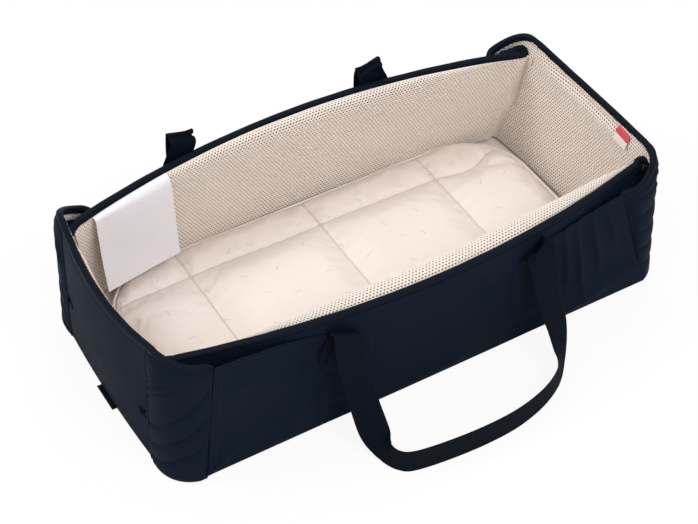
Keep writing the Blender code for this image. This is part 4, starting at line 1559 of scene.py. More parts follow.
    def _rim_line(self) -> tuple[Array, Array]:
        """Middle of the rim from one wrap's free edge to the other's, and the way out from it."""
        parts = []
        for side in Side:
            wrap = WRAPS[side, self.end]
            share = even(40)
            z = wrap.rim(share) - SHELL.binding / 2
            x, y = wrap.place(share, z, self.tape_depth)
            parts.append(stacked(self.end.sign * x, side.sign * y, z))
        y = np.linspace(-SHELL.seam_half, SHELL.seam_half, 40)[1:-1]
        z = SHELL.end_rim(y) - SHELL.binding / 2
        middle = stacked(self.end.sign * (SHELL.end_x(y, z) - self.tape_depth), y, z)
        line = even_line(np.concatenate([parts[0][::-1], middle, parts[1]]), 0.004)
        ahead = unit(np.gradient(line, axis=0))
        return line, unit(np.cross(ahead, [0, 0, 1.0]) * self.end.sign)

    def _tongues(self) -> None:
        """Small tongues beside the slots."""
        u, v = grid(np.linspace(-1, 1, 13), np.linspace(-1, 1, 13))
        for side in Side:
            middle = side.sign * (self.slot_offset - self.slot_width / 2 - self.tab / 2 - 0.0003)
            y = middle + u * self.tab / 2 * np.sqrt(1 - v**2 * 0.35)
            z = self.slot_lift + v * self.tab / 2 * np.sqrt(1 - u**2 * 0.35)
            lift = 0.0006 + 0.0008 * blunt(np.maximum(np.abs(u), np.abs(v)), 4)
            outer, inner = self._face(y, z, lift), self._face(y, z, 0.0002)
            item = Draft(f"{self.end}_{side}_tongue").sheet(outer, inner, stacked(y, z)).done(70)
            fit_out(item, COT, NAVY_WEBBING, (f"{self.end}_{side}_slot_tab",))

    def _foot_tab(self) -> None:
        """Ribbed webbing tab under the middle of the end."""
        width, reach, thick = self.base_tab
        u, v = grid(np.linspace(-1, 1, 49), even(14))
        edge = blunt(u, 16) * blunt(np.maximum(v * 1.02 - 0.02, 0), 10)
        ribs = 0.00018 * np.abs(np.sin(u * self.foot_tab_ribs * math.pi / 2))
        x = self.end.sign * (float(SHELL.end_x(0.0, 0.0)) - 0.003 + v * (reach + 0.003))
        y, half = u * width / 2, thick / 2 - 0.0002
        upper = stacked(x, y, thick / 2 + half * edge + ribs * edge - 0.0002)
        lower = stacked(x, y, thick / 2 - half * edge)
        item = Draft(f"{self.end}_foot_tab").sheet(upper, lower, stacked(x, y)).done(70)
        fit_out(item, COT, NAVY_WEBBING, (f"{self.end}_base_tab",))


# Corners


@dataclass(frozen=True)
class Wrinkles:
    """Slanting wrinkles in a wrap, between two shares of its height and towards the end wall."""

    rise: float = 0.42
    waves: float = 104
    lean: float = 0.5
    sway: float = 0.012
    start: float = 0.54
    stop: float = 0.82

    def raised(self, share: Array, height: Array) -> Array:
        """How far they stand out, as a share of the padding."""
        run = height - self.lean * share - self.sway * np.sin(share * 11)
        wave = self.rise * np.sin(run * self.waves) * np.clip(1.2 - share / 0.6, 0, 1)
        return wave * ease((run - self.start) / 0.05) * ease((self.stop - run) / 0.06)


@dataclass
class CornerWrap:
    """Padded wrap round a corner, quilted along curved seams, with its mesh lining."""

    side: Side
    end: End
    seam_levels: tuple[float, ...] = (-0.35, 0.06, 0.20, 0.36, 1.2)
    rise_shares: Pair = (0.28, 0.62)
    bend: float = 1.5
    puff: float = 0.0046
    thickness: float = 0.0016
    columns: int = 34
    rows: int = 76
    lining_depths: Pair = (0.0034, 0.0020)
    flat: Pair = (0.088, 0.19)
    level_height: float = 0.2
    tuft: float = 0.014
    border: float = 0.10
    foot_border: float = 0.035
    top_border: float = 0.05
    pucker: float = 0.10
    fullest: float = 1.4
    wrinkles: Wrinkles = Wrinkles()

    @property
    def shape(self) -> WrapShape:
        """The wrap's course."""
        return WRAPS[self.side, self.end]

    @property
    def name(self) -> str:
        """The wrap's name without what it is."""
        return f"{self.side}_{self.end}"

    def build(self, workshop: Workshop) -> None:
        """Makes the padded wrap, its lining and its stitches."""
        self._padding(workshop)
        self._lining()
        workshop.stitch(f"{self.name}_wrap_stitches", COT)

    def _at(self, share: Array, height: Array, lift: Array | float) -> Array:
        """Points on the wrap by shares of its width and height."""
        z = height * (self.shape.rim(share) - SHELL.cover_gap)
        x, y = self.shape.place(share, z, -np.asarray(lift))
        return stacked(self.end.sign * x, self.side.sign * y, z)

    def _level(self, share: Array, height: Array) -> Array:
        """Runs along the curved seams with one value each."""
        bend = share**self.bend
        return (height - self.rise_shares[0] * bend) / (1 + self.rise_shares[1] * bend)

    def _swell(self, share: Array, height: Array) -> Array:
        """How far the padding stands out between seams and edges."""
        level = self._level(share, height)
        gap = np.min(np.abs(level[..., None] - np.array(self.seam_levels)), axis=-1) * self.level_height
        tuft = rounded(gap, self.tuft)
        border = np.clip(np.minimum(share, 1 - share) / self.border, 0, 1) ** 0.6
        foot = np.sqrt(np.clip(height / self.foot_border, 0, 1) * np.clip((1 - height) / self.top_border, 0, 1))
        pucker = self.pucker * np.sin(share * 58 + 9 * level) * np.exp(-gap / 0.005)
        full = tuft + pucker + self.wrinkles.raised(share, height)
        return self.puff * np.clip(full * border * foot, 0, self.fullest)

    def _padding(self, workshop: Workshop) -> None:
        """The padded form, quilted along its seams, and its rows of stitches."""
        share, height = grid(even(self.columns), even(self.rows))
        swell = self._swell(share, height)
        outer = self._at(share, height, swell - 0.0004)
        inner = self._at(share, height, -self.thickness)
        maps = stacked(share, height) * self.flat
        item = Draft(f"{self.name}_wrap_pad").sheet(outer, inner, maps).done(80)
        fit_out(item, COT, NAVY, (f"{self.name}_wrap",))
        stitches = f"{self.name}_wrap_stitches"
        for level in self.seam_levels[1:-1]:
            shares = np.linspace(0.03, 0.97, 50)
            heights = level + (self.rise_shares[0] + self.rise_shares[1] * level) * shares**self.bend
            inside = (heights > 0.03) & (heights < 0.96)
            if inside.sum() > 3:
                workshop.sew(stitches, self._at(shares[inside], heights[inside], 0.0002))
        rise = np.linspace(0.03, 0.93, 50)
        for place in (0.035, 0.955):
            workshop.sew(stitches, self._at(np.full(50, place), rise, 0.0016))
        around = np.linspace(0.03, 0.97, 50)
        workshop.sew(stitches, self._at(around, np.full(50, 0.945), 0.0012))

    def _lining(self) -> None:
        """Mesh lining inside the wrap."""
        share, height = grid(np.linspace(0.06, 0.99, 16), np.linspace(0.22, 1.0, 24))
        seen, back = (self._at(share, height, -depth) for depth in self.lining_depths)
        item = Draft(f"{self.name}_wrap_lining").sheet(seen, back, stacked(share, height) * self.flat).done()
        fit_out(item, COT, CREAM_MESH, (f"{self.name}_gusset",))


def build_wrap(side: Side, end: End) -> CornerWrap:
    """A corner's wrap, with the quilting of its end."""
    if end is End.LEFT:
        return CornerWrap(side, end)
    levels = (-0.1, 0.16, 0.33, 0.50, 0.67, 0.84, 1.3)
    return CornerWrap(side, end, levels, rise_shares=(0.06, 0.10), bend=1.9, puff=0.0042)


# Side walls


@dataclass(frozen=True)
class Belly:
    """How a side lining swells inwards and rolls over under the rim, less towards the wall's ends."""

    depth: float
    middle: float
    half: float
    flat: float = 0.0025
    foot: float = 0.014
    rim_gap: float = 0.003
    roll_from: float = 0.97

    def fall(self, x: Array) -> Array:
        """Share of the full belly at a place along the wall."""
        return np.clip(1 - np.abs((x - self.middle) / self.half) ** 2.6, 0, 1)

    def reach(self, x: Array) -> Array:
        """How far in the belly reaches."""
        return mix(self.flat, self.depth, self.fall(x))

    def rolled(self, x: Array, height: Array) -> Array:
        """Share of the height, with the roll kept low where the belly is slight."""
        over = (height - self.roll_from) * mix(0.1, 1, self.fall(x))
        return np.where(height > self.roll_from, self.roll_from + over, height)

    def level(self, x: Array, height: Array) -> Array:
        """Height above the ground from its share."""
        return mix(self.foot, SHELL.side_rim(x) - self.rim_gap, height)


BELLIES = {Side.FRONT: Belly(0.030, 0.04, 0.31), Side.REAR: Belly(0.020, 0.0, 0.32)}


@dataclass
class SideWall:
    """Folding side wall: outer cloth, mesh lining that runs down past the fold, rim binding and corner gussets."""

    side: Side
    pocket_from: float
    tape: RimTape = RimTape(0.0098, 0.0102, 0.0005, 0.035, 0.6, 0.0026)
    hairpin: Pair = (0.0088, 0.0098)
    band_lift: float = 0.0016
    band_rows: float = 0.035
    lining_width: float = 0.690
    seam_drop: float = 0.002
    rim_drop: float = 0.0055
    gusset_sag: float = 0.004
    pocket_level: float = 0.165
    pocket_drop: float = 0.019
    pocket_depth: float = 0.006
    pocket_map: Pair = (0.08, 0.04)
    profile_shares: tuple[Pair, ...] = (
        (0.0, 0.0),
        (0.0, 0.10),
        (0.05, 0.22),
        (0.22, 0.38),
        (0.45, 0.54),
        (0.68, 0.70),
        (0.88, 0.83),
        (1.0, 0.92),
        (0.97, 0.985),
        (0.80, 1.02),
        (0.52, 1.03),
        (0.22, 1.015),
        (0.02, 0.98),
        (-0.02, 0.94),
    )

    def build(self, workshop: Workshop) -> None:
        """Makes the wall's pieces."""
        self._cloth(workshop)
        self._lining(workshop)
        self._binding(workshop)
        for end in End:
            self._gusset(end)
            self._hairpin(end)
            self._pocket(end)
        workshop.stitch(self.stitches, self.side.wall)

    @property
    def stitches(self) -> str:
        """Name of the wall's stitches."""
        return f"{self.side}_wall_stitches"

    def _at(self, x: Array, z: Array, lift: Array | float) -> Array:
        """Points on the wall's outer face."""
        return stacked(x, self.side.sign * (SHELL.side_y(x, z) + lift), z)

    def _cloth(self, workshop: Workshop) -> None:
        """Outer cloth, whose upper band laps over the long seam."""
        seam = SHELL.seam_height - self.seam_drop
        foot = SHELL.fold_height + 0.0005
        levels = np.concatenate([np.linspace(foot, seam - 0.0004, 26), seam + self.band_rows * even(13)])
        share, level = grid(np.linspace(-1, 1, 170), levels)
        x = share * SHELL.side_end(level)
        top = SHELL.side_rim(x) - self.rim_drop
        z = np.where(level > seam, mix(seam, top, (level - seam) / self.band_rows), level)
        band = ease((level - seam + 0.0006) / 0.0008) * self.band_lift
        pucker = 0.0005 * ripple(x, z, 0.022, 41) * ease((z - seam) / 0.01) * ease((top - z) / 0.01)
        outer, inner = self._at(x, z, band + pucker), self._at(x, z, -SHELL.cloth)
        item = Draft(f"{self.side}_wall_cloth").sheet(outer, inner, stacked(x, z)).done()
        nodes = (f"{self.side}_side_panel", f"{self.side}_side_band")
        fit_out(item, self.side.wall, NAVY, nodes)
        along = np.linspace(-0.33, 0.33, 150)
        workshop.sew(self.stitches, self._at(along, seam + 0.0035, self.band_lift + 0.0003))

    def _lining(self, workshop: Workshop) -> None:
        """Mesh lining in one length from the rim down to the floor, past the fold."""
        sign, belly = self.side.sign, BELLIES[self.side]
        last = len(self.profile_shares) - 1
        course = smooth_steps(np.array(self.profile_shares), np.linspace(0, last, 900))
        far = walked(course * (belly.depth, SHELL.side_height - belly.foot))
        tall = float(far[-1])

        def shaped(x: Array, up: Array) -> tuple[Array, Array]:
            """How far in and how high the cloth lies."""
            inward, height = np.interp(up, far, course[:, 0]), np.interp(up, far, course[:, 1])
            return inward * belly.reach(x), belly.level(x, belly.rolled(x, height))

        def place(x: Array, up: Array) -> Array:
            """Belly of the lining, which rolls over just inside the rim."""
            inward, z = shaped(x, up)
            soft = 0.0014 * ripple(x, up, 0.10, 51 + sign) * ease(up / 0.06) * ease((tall - up) / 0.03)
            return stacked(x, sign * (SHELL.side_y(x, z) - SHELL.layers - inward + soft), z)

        def trim(x: Array, up: Array) -> tuple[Array, Array]:
            """Cuts the cloth at the wall's ends, the floor and the rim."""
            up = np.clip(up, 0, tall)
            half = SHELL.side_end(shaped(x, up)[1])
            return np.clip(x, -half, half), up

        Lining(
            f"{self.side}_side_mesh",
            Fold(COT, self.side.wall, (0, 0, 0.030), (0, 0, 0.054)),
            place,
            trim,
            (self.lining_width, tall),
            tall / 2,
            (0, -sign, 0.1),
            f"{self.side}_side_lining",
        ).build(workshop)

    def _rim_line(self) -> Array:
        """Middle of the rim binding."""
        x = np.linspace(-1, 1, 180) * (SHELL.side_end(SHELL.side_height) - 0.006)
        z = SHELL.side_rim(x) - SHELL.binding / 2
        return stacked(x, self.side.sign * (SHELL.side_y(x, z) - SHELL.layers / 2), z)

    def _binding(self, workshop: Workshop) -> None:
        """Folded tape over the rim."""
        line = even_line(self._rim_line(), 0.004)
        out = unit(np.cross(np.gradient(line, axis=0), [0, 0, 1.0]))
        out = out * np.sign(out[:, 1:2] * self.side.sign)
        self.tape.build(f"{self.side}_side", line, out, 61, self.side.wall, self.stitches, workshop)

    def _gusset(self, end: End) -> None:
        """Narrow mesh strip that closes an inner corner."""
        v, u = grid(even(40), even(10))
        z = mix(0.012, SHELL.side_height - 0.006, v)
        wall_end = SHELL.side_end(z)
        wall_x, wall_y = wall_end - 0.004, SHELL.side_y(wall_end, z) - SHELL.layers + 0.001
        end_y = SHELL.lining_half(z) - 0.002
        end_x = mix(SHELL.lining_x(end_y, z) - 0.0026, SHELL.half_length(z) - 0.0135, SHELL.climb(z))
        sag = self.gusset_sag * np.sin(u * math.pi)
        x, y = mix(wall_x, end_x, u) + sag, mix(wall_y, end_y, u) + sag
        seen, back = (stacked(end.sign * (x + out), self.side.sign * (y + out), z) for out in (0, 0.001))
        name = f"{self.side}_{end}_corner_gusset"
        item = Draft(name).sheet(seen, back, stacked(u * 0.02, z)).done()
        fold = Fold(self.side.wall, COT, (end.sign * 0.309, 0, 0), (end.sign * 0.323, 0, -0.0021))
        fit_out(item, fold, CREAM_MESH)

    def _hairpin(self, end: End) -> None:
        """Turn of the binding from the wall's end into the corner's pocket."""
        sign, way = self.side.sign, end.sign
        rim = float(SHELL.side_rim(SHELL.rim_half)) - SHELL.binding / 2
        bends = [(way * x, sign * y, rim + z) for x, y, z in HAIRPINS[self.side, end]]
        line = smooth_line(bends, 0.0015)
        out = np.cross(unit(np.gradient(line, axis=0)), [0, 0, 1.0]) * sign * way
        rings = sweep(line, out, oval(*self.hairpin))
        item = Draft(f"{self.side}_{end}_hairpin").tube(rings).done()
        fit_out(item, Fold(self.side.wall, COT, bends[1], bends[-2]), NAVY_TAPE)

    def _pocket(self, end: End) -> None:
        """Cloth that sinks between the wall's end and the wrap."""
        sign, way, level = self.side.sign, end.sign, self.pocket_level
        wrap = WRAPS[self.side, end]
        share, across = grid(np.linspace(self.pocket_from, 0.98, 20), even(14))
        outer_z = wrap.rim(share) - self.pocket_drop
        far_x, far_y = wrap.place(share, outer_z, 0.0050)
        near_x = np.minimum(far_x, SHELL.side_end(level) - 0.004)
        near_y = SHELL.side_y(near_x, level) + 0.0014
        x, y, z = (mix(a, b, across) for a, b in ((near_x, far_x), (near_y, far_y), (level, outer_z)))
        maps = stacked(share, across) * self.pocket_map
        z = z - self.pocket_depth * np.sin(math.pi * across) + 0.001 * ripple(share * 0.1, across * 0.04, 0.02, 83)
        seen = stacked(way * x, sign * y, z)
        item = Draft(f"{self.side}_{end}_pocket").sheet(seen, seen - (0, 0, 0.0008), maps).done()
        fold = Fold(self.side.wall, COT, (0, sign * 0.136, 0), (0, sign * 0.160, 0))
        fit_out(item, fold, NAVY)


HAIRPINS = {
    (Side.FRONT, End.LEFT): (
        (0.320, 0.1369, 0),
        (0.3305, 0.1338, 0),
        (0.3395, 0.1300, 0),
        (0.3450, 0.1325, 0.0005),
        (0.3465, 0.1390, 0.001),
        (0.3455, 0.1470, 0),
        (0.3410, 0.1540, -0.002),
    ),
    (Side.FRONT, End.RIGHT): (
        (0.320, 0.1369, 0),
        (0.3305, 0.1338, 0),
        (0.3385, 0.1290, 0.001),
        (0.3445, 0.1300, 0.003),
        (0.3480, 0.1360, 0.0035),
        (0.3490, 0.1440, 0.002),
        (0.3470, 0.1530, 0),
    ),
    (Side.REAR, End.LEFT): (
        (0.320, 0.1369, 0),
        (0.3305, 0.1336, 0),
        (0.3410, 0.1265, 0),
        (0.3475, 0.1190, 0.0005),
        (0.3505, 0.1185, 0.001),
        (0.3515, 0.1250, 0.002),
        (0.3500, 0.1360, 0.003),
        (0.3480, 0.1460, 0.002),
    ),
    (Side.REAR, End.RIGHT): (
        (0.320, 0.1369, 0),
        (0.3305, 0.1338, 0),
        (0.3400, 0.1315, 0),
        (0.3455, 0.1345, 0.0005),
        (0.3460, 0.1400, 0.001),
        (0.3410, 0.1440, 0),
        (0.3300, 0.1460, -0.002),
        (0.3150, 0.1500, -0.005),
    ),
}


# Skirt


@dataclass
class Skirt:
    """Loose outer cloth of a side: sewn along the band between the straps, free above it, gathered to the wraps."""

    side: Side
    straps: Pair
    slit_height: float = 0.150
    standoff: float = 0.0012
    strap_lift: float = 0.0036
    thickness: float = 0.0009
    left_top: float = 0.184
    right_top: float = 0.170
    creases: tuple[Crease, ...] = ()
    crease_depth: float = 1.35
    sag: float = 0.0035
    seam_gap: float = 0.0008
    lap: float = 0.003
    strip: float = 0.0007
    strip_width: float = 0.0105
    tuck: float = 0.007
    tuck_height: float = 0.008
    strap_reach: float = 0.024
    strap_half: float = 0.019
    left_run: float = 0.300
    right_run: float = 0.280

    def build(self, workshop: Workshop) -> None:
        """Makes the skirt as three sheets that meet at the straps."""
        rise = np.concatenate([np.linspace(0, 0.05, 9)[:-1], np.linspace(0.05, 1, 50)])
        x, v = grid(mix(*self.straps, even(83)), rise)
        _, draft = self._sheet("middle", x, v * self.top(x))
        fold = Fold(COT, self.side.wall, (0, 0, 0), (0, 0, SHELL.seam_height))
        self._hang(draft, float(np.ptp(x)), fold, ())
        for end in End:
            self._flap(end, rise, workshop)

    def edge(self, end: End, z: Array) -> Array:
        """Where the skirt meets a wrap, and laps under it at the foot."""
        gap = self.seam_gap + self.lap * ease((0.02 - z) / 0.01)
        return end.sign * (WRAPS[self.side, end].free_edge(z) + gap)

    def top(self, x: Array) -> Array:
        """Height of the skirt's upper edge."""
        left, right = self.straps
        half, step = self.strap_half, self.slit_height + 0.004
        to_left = np.clip((left + half - x) / (left + half + self.left_run), 0, 1)
        to_right = np.clip((x - right + half) / (self.right_run - right + half), 0, 1)
        level = np.full_like(x, SHELL.seam_height + 0.001)
        for past in (left - x, x - right):
            level = level + ease((past + 0.022) / 0.006) * (step - SHELL.seam_height)
        return level + to_left**0.9 * (self.left_top - step) + to_right**0.9 * (self.right_top - step)

    def out(self, x: Array, z: Array) -> Array:
        """How far from the middle of the cot the skirt hangs."""
        base = SHELL.side_y(x, z) + self.standoff
        at_strap = sum(np.exp(-(((x - strap) / self.strap_reach) ** 4)) for strap in self.straps)
        base = base + self.strap_lift * np.clip(at_strap, 0, 1) * ease((z - 0.03) / 0.02)
        for end, start in zip(End, self.straps):
            wrap, edge = WRAPS[self.side, end], self.edge(end, z)
            share = np.clip((x - start + end.sign * -0.02) / (edge - start + end.sign * -0.02), 0, 1)
            far = SHELL.half_width(z) + wrap.flare * z / SHELL.end_height + 0.0002
            base = mix(base, np.maximum(base, far), ease(share))
            hang = self.sag * np.sin(math.pi * share) * ease((z - 0.02) / 0.1)
            strip = self.strip * ease((self.strip_width - np.abs(edge - x)) / 0.0012)
            base = base + hang + strip
        base = np.maximum(base, mix(SHELL.width / 2 + 0.0006, base, ease((z - 0.036) / 0.02)))
        base = base + self.crease_depth * folded(self.creases, x, z) * ease(z / 0.012)
        base = base + 0.0009 * ripple(x, z * 0.6, 0.07, 71 + self.side.sign) * ease(z / 0.03)
        return base - self.tuck * (1 - rounded(z, self.tuck_height))

    def _sheet(self, which: str, x: Array, z: Array) -> tuple[Array, Draft]:
        """Lays out one of the three sheets.

        Args:
            which: Which of them it is.
            x: Place of each of its points along the cot.
            z: Height of each of its points.

        Returns:
            The points of its outer face, and its draft.
        """
        out, sign = self.out(x, z), self.side.sign
        outer, inner = stacked(x, sign * out, z), stacked(x, sign * (out - self.thickness), z)
        return outer, Draft(f"{self.side}_skirt_{which}").sheet(outer, inner, stacked(x, z))

    @staticmethod
    def _hang(draft: Draft, span: float, fold: Fold, nodes: Sequence[str]) -> None:
        """Finishes a sheet as cloth that passes from the cot to the wall; its span is not used."""
        item = draft.done(75)
        fit_out(item, fold, NAVY, nodes)

    def _row(self, x: Array, z: Array) -> Array:
        """A row of stitches on the skirt."""
        return stacked(x, self.side.sign * (self.out(x, z) + 0.0003), z)

    def _flap(self, end: End, rise: Array, workshop: Workshop) -> None:
        """The sheet from a strap to a wrap, with its corded hem and its stitches."""
        start = self.straps[end.index]
        u, v = grid(even(62), rise)
        z = v * self.slit_height
        for _ in range(3):
            x = mix(start, self.edge(end, z), u)
            z = v * self.top(x)
        outer, draft = self._sheet(str(end), x, z)
        draft.tube(cord(even_line(outer[:, -1] - (0, self.side.sign * self.thickness / 2, 0), 0.003), 0.0022))
        fold = self._fold(end)
        self._hang(draft, float(np.ptp(x)), fold, (f"{self.side}_{end}_flap",))
        stitches = f"{self.side}_skirt_{end}_stitches"
        up = np.linspace(0.01, float(outer[-1, -1, 2]) - 0.004, 60)
        for inset in (0.004, 0.0095):
            workshop.sew(stitches, self._row(self.edge(end, up) - end.sign * inset, up))
        along = np.linspace(start + end.sign * 0.03, float(outer[-1, -1, 0]), 60)
        workshop.sew(stitches, self._row(along, self.top(along) - 0.005))
        workshop.stitch(stitches, fold)

    def _fold(self, end: End) -> Fold:
        """Where a flap passes from the cot, at its foot and its wrap, to the wall."""
        start = self.straps[end.index]
        span = abs(self.edge(end, np.array(0.1)) - start)
        slope = np.array([-end.sign * 1.31 / span, 0, 1 / SHELL.seam_height])
        way = slope / float(slope @ slope)
        root = np.array([start, 0, 0])
        return Fold(COT, self.side.wall, tuple(root), tuple(root + way))


# Handles


@dataclass
class Handle:
    """Webbing loop of a side, sewn up the wall at both ends and folded out over its line."""

    side: Side
    straps: Pair
    line_y: float
    line_z: float
    reach: float
    route: tuple[tuple[float, float, float, float], ...]
    tilts: Pair
    leans: Pair
    webbing: float = 0.038
    thickness: float = 0.0018
    ribs: int = 11
    rib: float = 0.0005
    anchor_foot: float = 0.050
    sewn_gap: float = 0.0022
    sewn_box: Pair = (0.0155, 0.026)

    def build(self, workshop: Workshop) -> None:
        """Makes the loop, its anchors and their stitched boxes."""
        self._loop()
        for end in End:
            self._anchor(end, workshop)
        name = f"{self.side}_handle_stitches"
        workshop.stitch(name, self.side.wall, pitch=0.003, size=0.0007)

    def _outline(self) -> Array:
        """Cross-section of ribbed webbing: across it, and through it."""
        across = np.linspace(-1, 1, self.ribs * 4 + 1)
        ribs = self.rib * (np.abs(np.sin(across * self.ribs * math.pi / 2)) - 0.6)
        rise = (self.thickness / 2 + ribs) * blunt(across, 24)
        upper = stacked(across * self.webbing / 2, rise)
        lower = np.stack([across[::-1] * self.webbing / 2, -rise[::-1]], axis=1)
        return np.concatenate([upper[:-1], lower[:-1]])

    def _webbing(self, name: str, line: Array, turn: Array) -> Thing:
        """Webbing along a line, turned about it from level by a number of half turns."""
        angle = turn * math.pi
        level = stacked(np.cos(angle), 0, np.sin(angle))
        return Draft(name).tube(sweep(line, level, self._outline())).done(70)

    def _centre(self, at: Array) -> tuple[Array, Array]:
        """Centreline of the loop and the turn of its webbing, in half turns."""
        fine = smooth_steps(np.array(self.route), at)
        left, right = self.straps
        drop = self.line_z - self.webbing / 2 - 0.0003
        x = (left + right) / 2 + fine[:, 0] * (right - left) / 2
        y = self.side.sign * (self.line_y + fine[:, 1] * self.reach)
        z = self.line_z - np.minimum(fine[:, 2], 1) * drop
        turn = fine[:, 3]
        for tilt, rows in zip(self.tilts, (at, len(self.route) - 1 - at)):
            turn = turn + tilt * ease(1 - rows / 4.5)
        return stacked(x, y, z), turn

    def _loop(self) -> None:
        """The free loop, from fold line to fold line."""
        last = len(self.route) - 1
        item = self._webbing(f"{self.side}_loop_webbing", *self._centre(np.linspace(0, last, last * 9 + 1)))
        start, stop = ((0, self.side.sign * (self.line_y + out), self.line_z) for out in (0.0005, 0.009))
        fold = Fold(self.side.wall, self.side.loop, start, stop)
        fit_out(item, fold, NAVY_WEBBING, (f"{self.side}_handle",))

    def _anchor(self, end: End, workshop: Workshop) -> None:
        """Webbing sewn up the wall that turns out to the fold line."""
        sign, middle = self.side.sign, self.straps[end.index]
        edges = [float(SHELL.side_y(middle + s * self.webbing / 2, z)) for s in (-1, 1) for z in (0.150, 0.181)]
        root = max(edges) + self.sewn_gap
        radius = self.line_y - root
        bend = self.line_z - radius
        rise = np.linspace(self.anchor_foot, bend, 40)
        out = mix(SHELL.side_y(middle, rise) + self.sewn_gap, root, ease((rise - 0.11) / 0.04))
        angle = np.linspace(0, math.pi / 2, 14)[1:]
        y = np.concatenate([out, self.line_y - radius * np.cos(angle)])
        z = np.concatenate([rise, bend + radius * np.sin(angle)])
        share = (z - self.anchor_foot) / (self.line_z - self.anchor_foot)
        along = middle + self.leans[end.index] * ease((share - 0.3) / 0.4) * ease((1 - share) / 0.3)
        turn = self.tilts[end.index] * ease((share - 0.75) / 0.25)
        item = self._webbing(f"{self.side}_{end}_strap", stacked(along, sign * y, z), turn)
        fit_out(item, self.side.wall, NAVY_WEBBING, (f"{self.side}_{end}_strap_anchor",))
        corners = np.array([(-1, 0), (1, 0), (1, 1), (-1, 1), (-1, 0), (1, 1), (1, 0), (-1, 1)], float)
        x, up = even_line(corners * self.sewn_box, 0.003).T
        x, z = middle + x, self.anchor_foot + 0.006 + up
        row = stacked(x, sign * (SHELL.side_y(x, z) + self.sewn_gap + 0.0014), z)
        workshop.sew(f"{self.side}_handle_stitches", row)


# Mattress


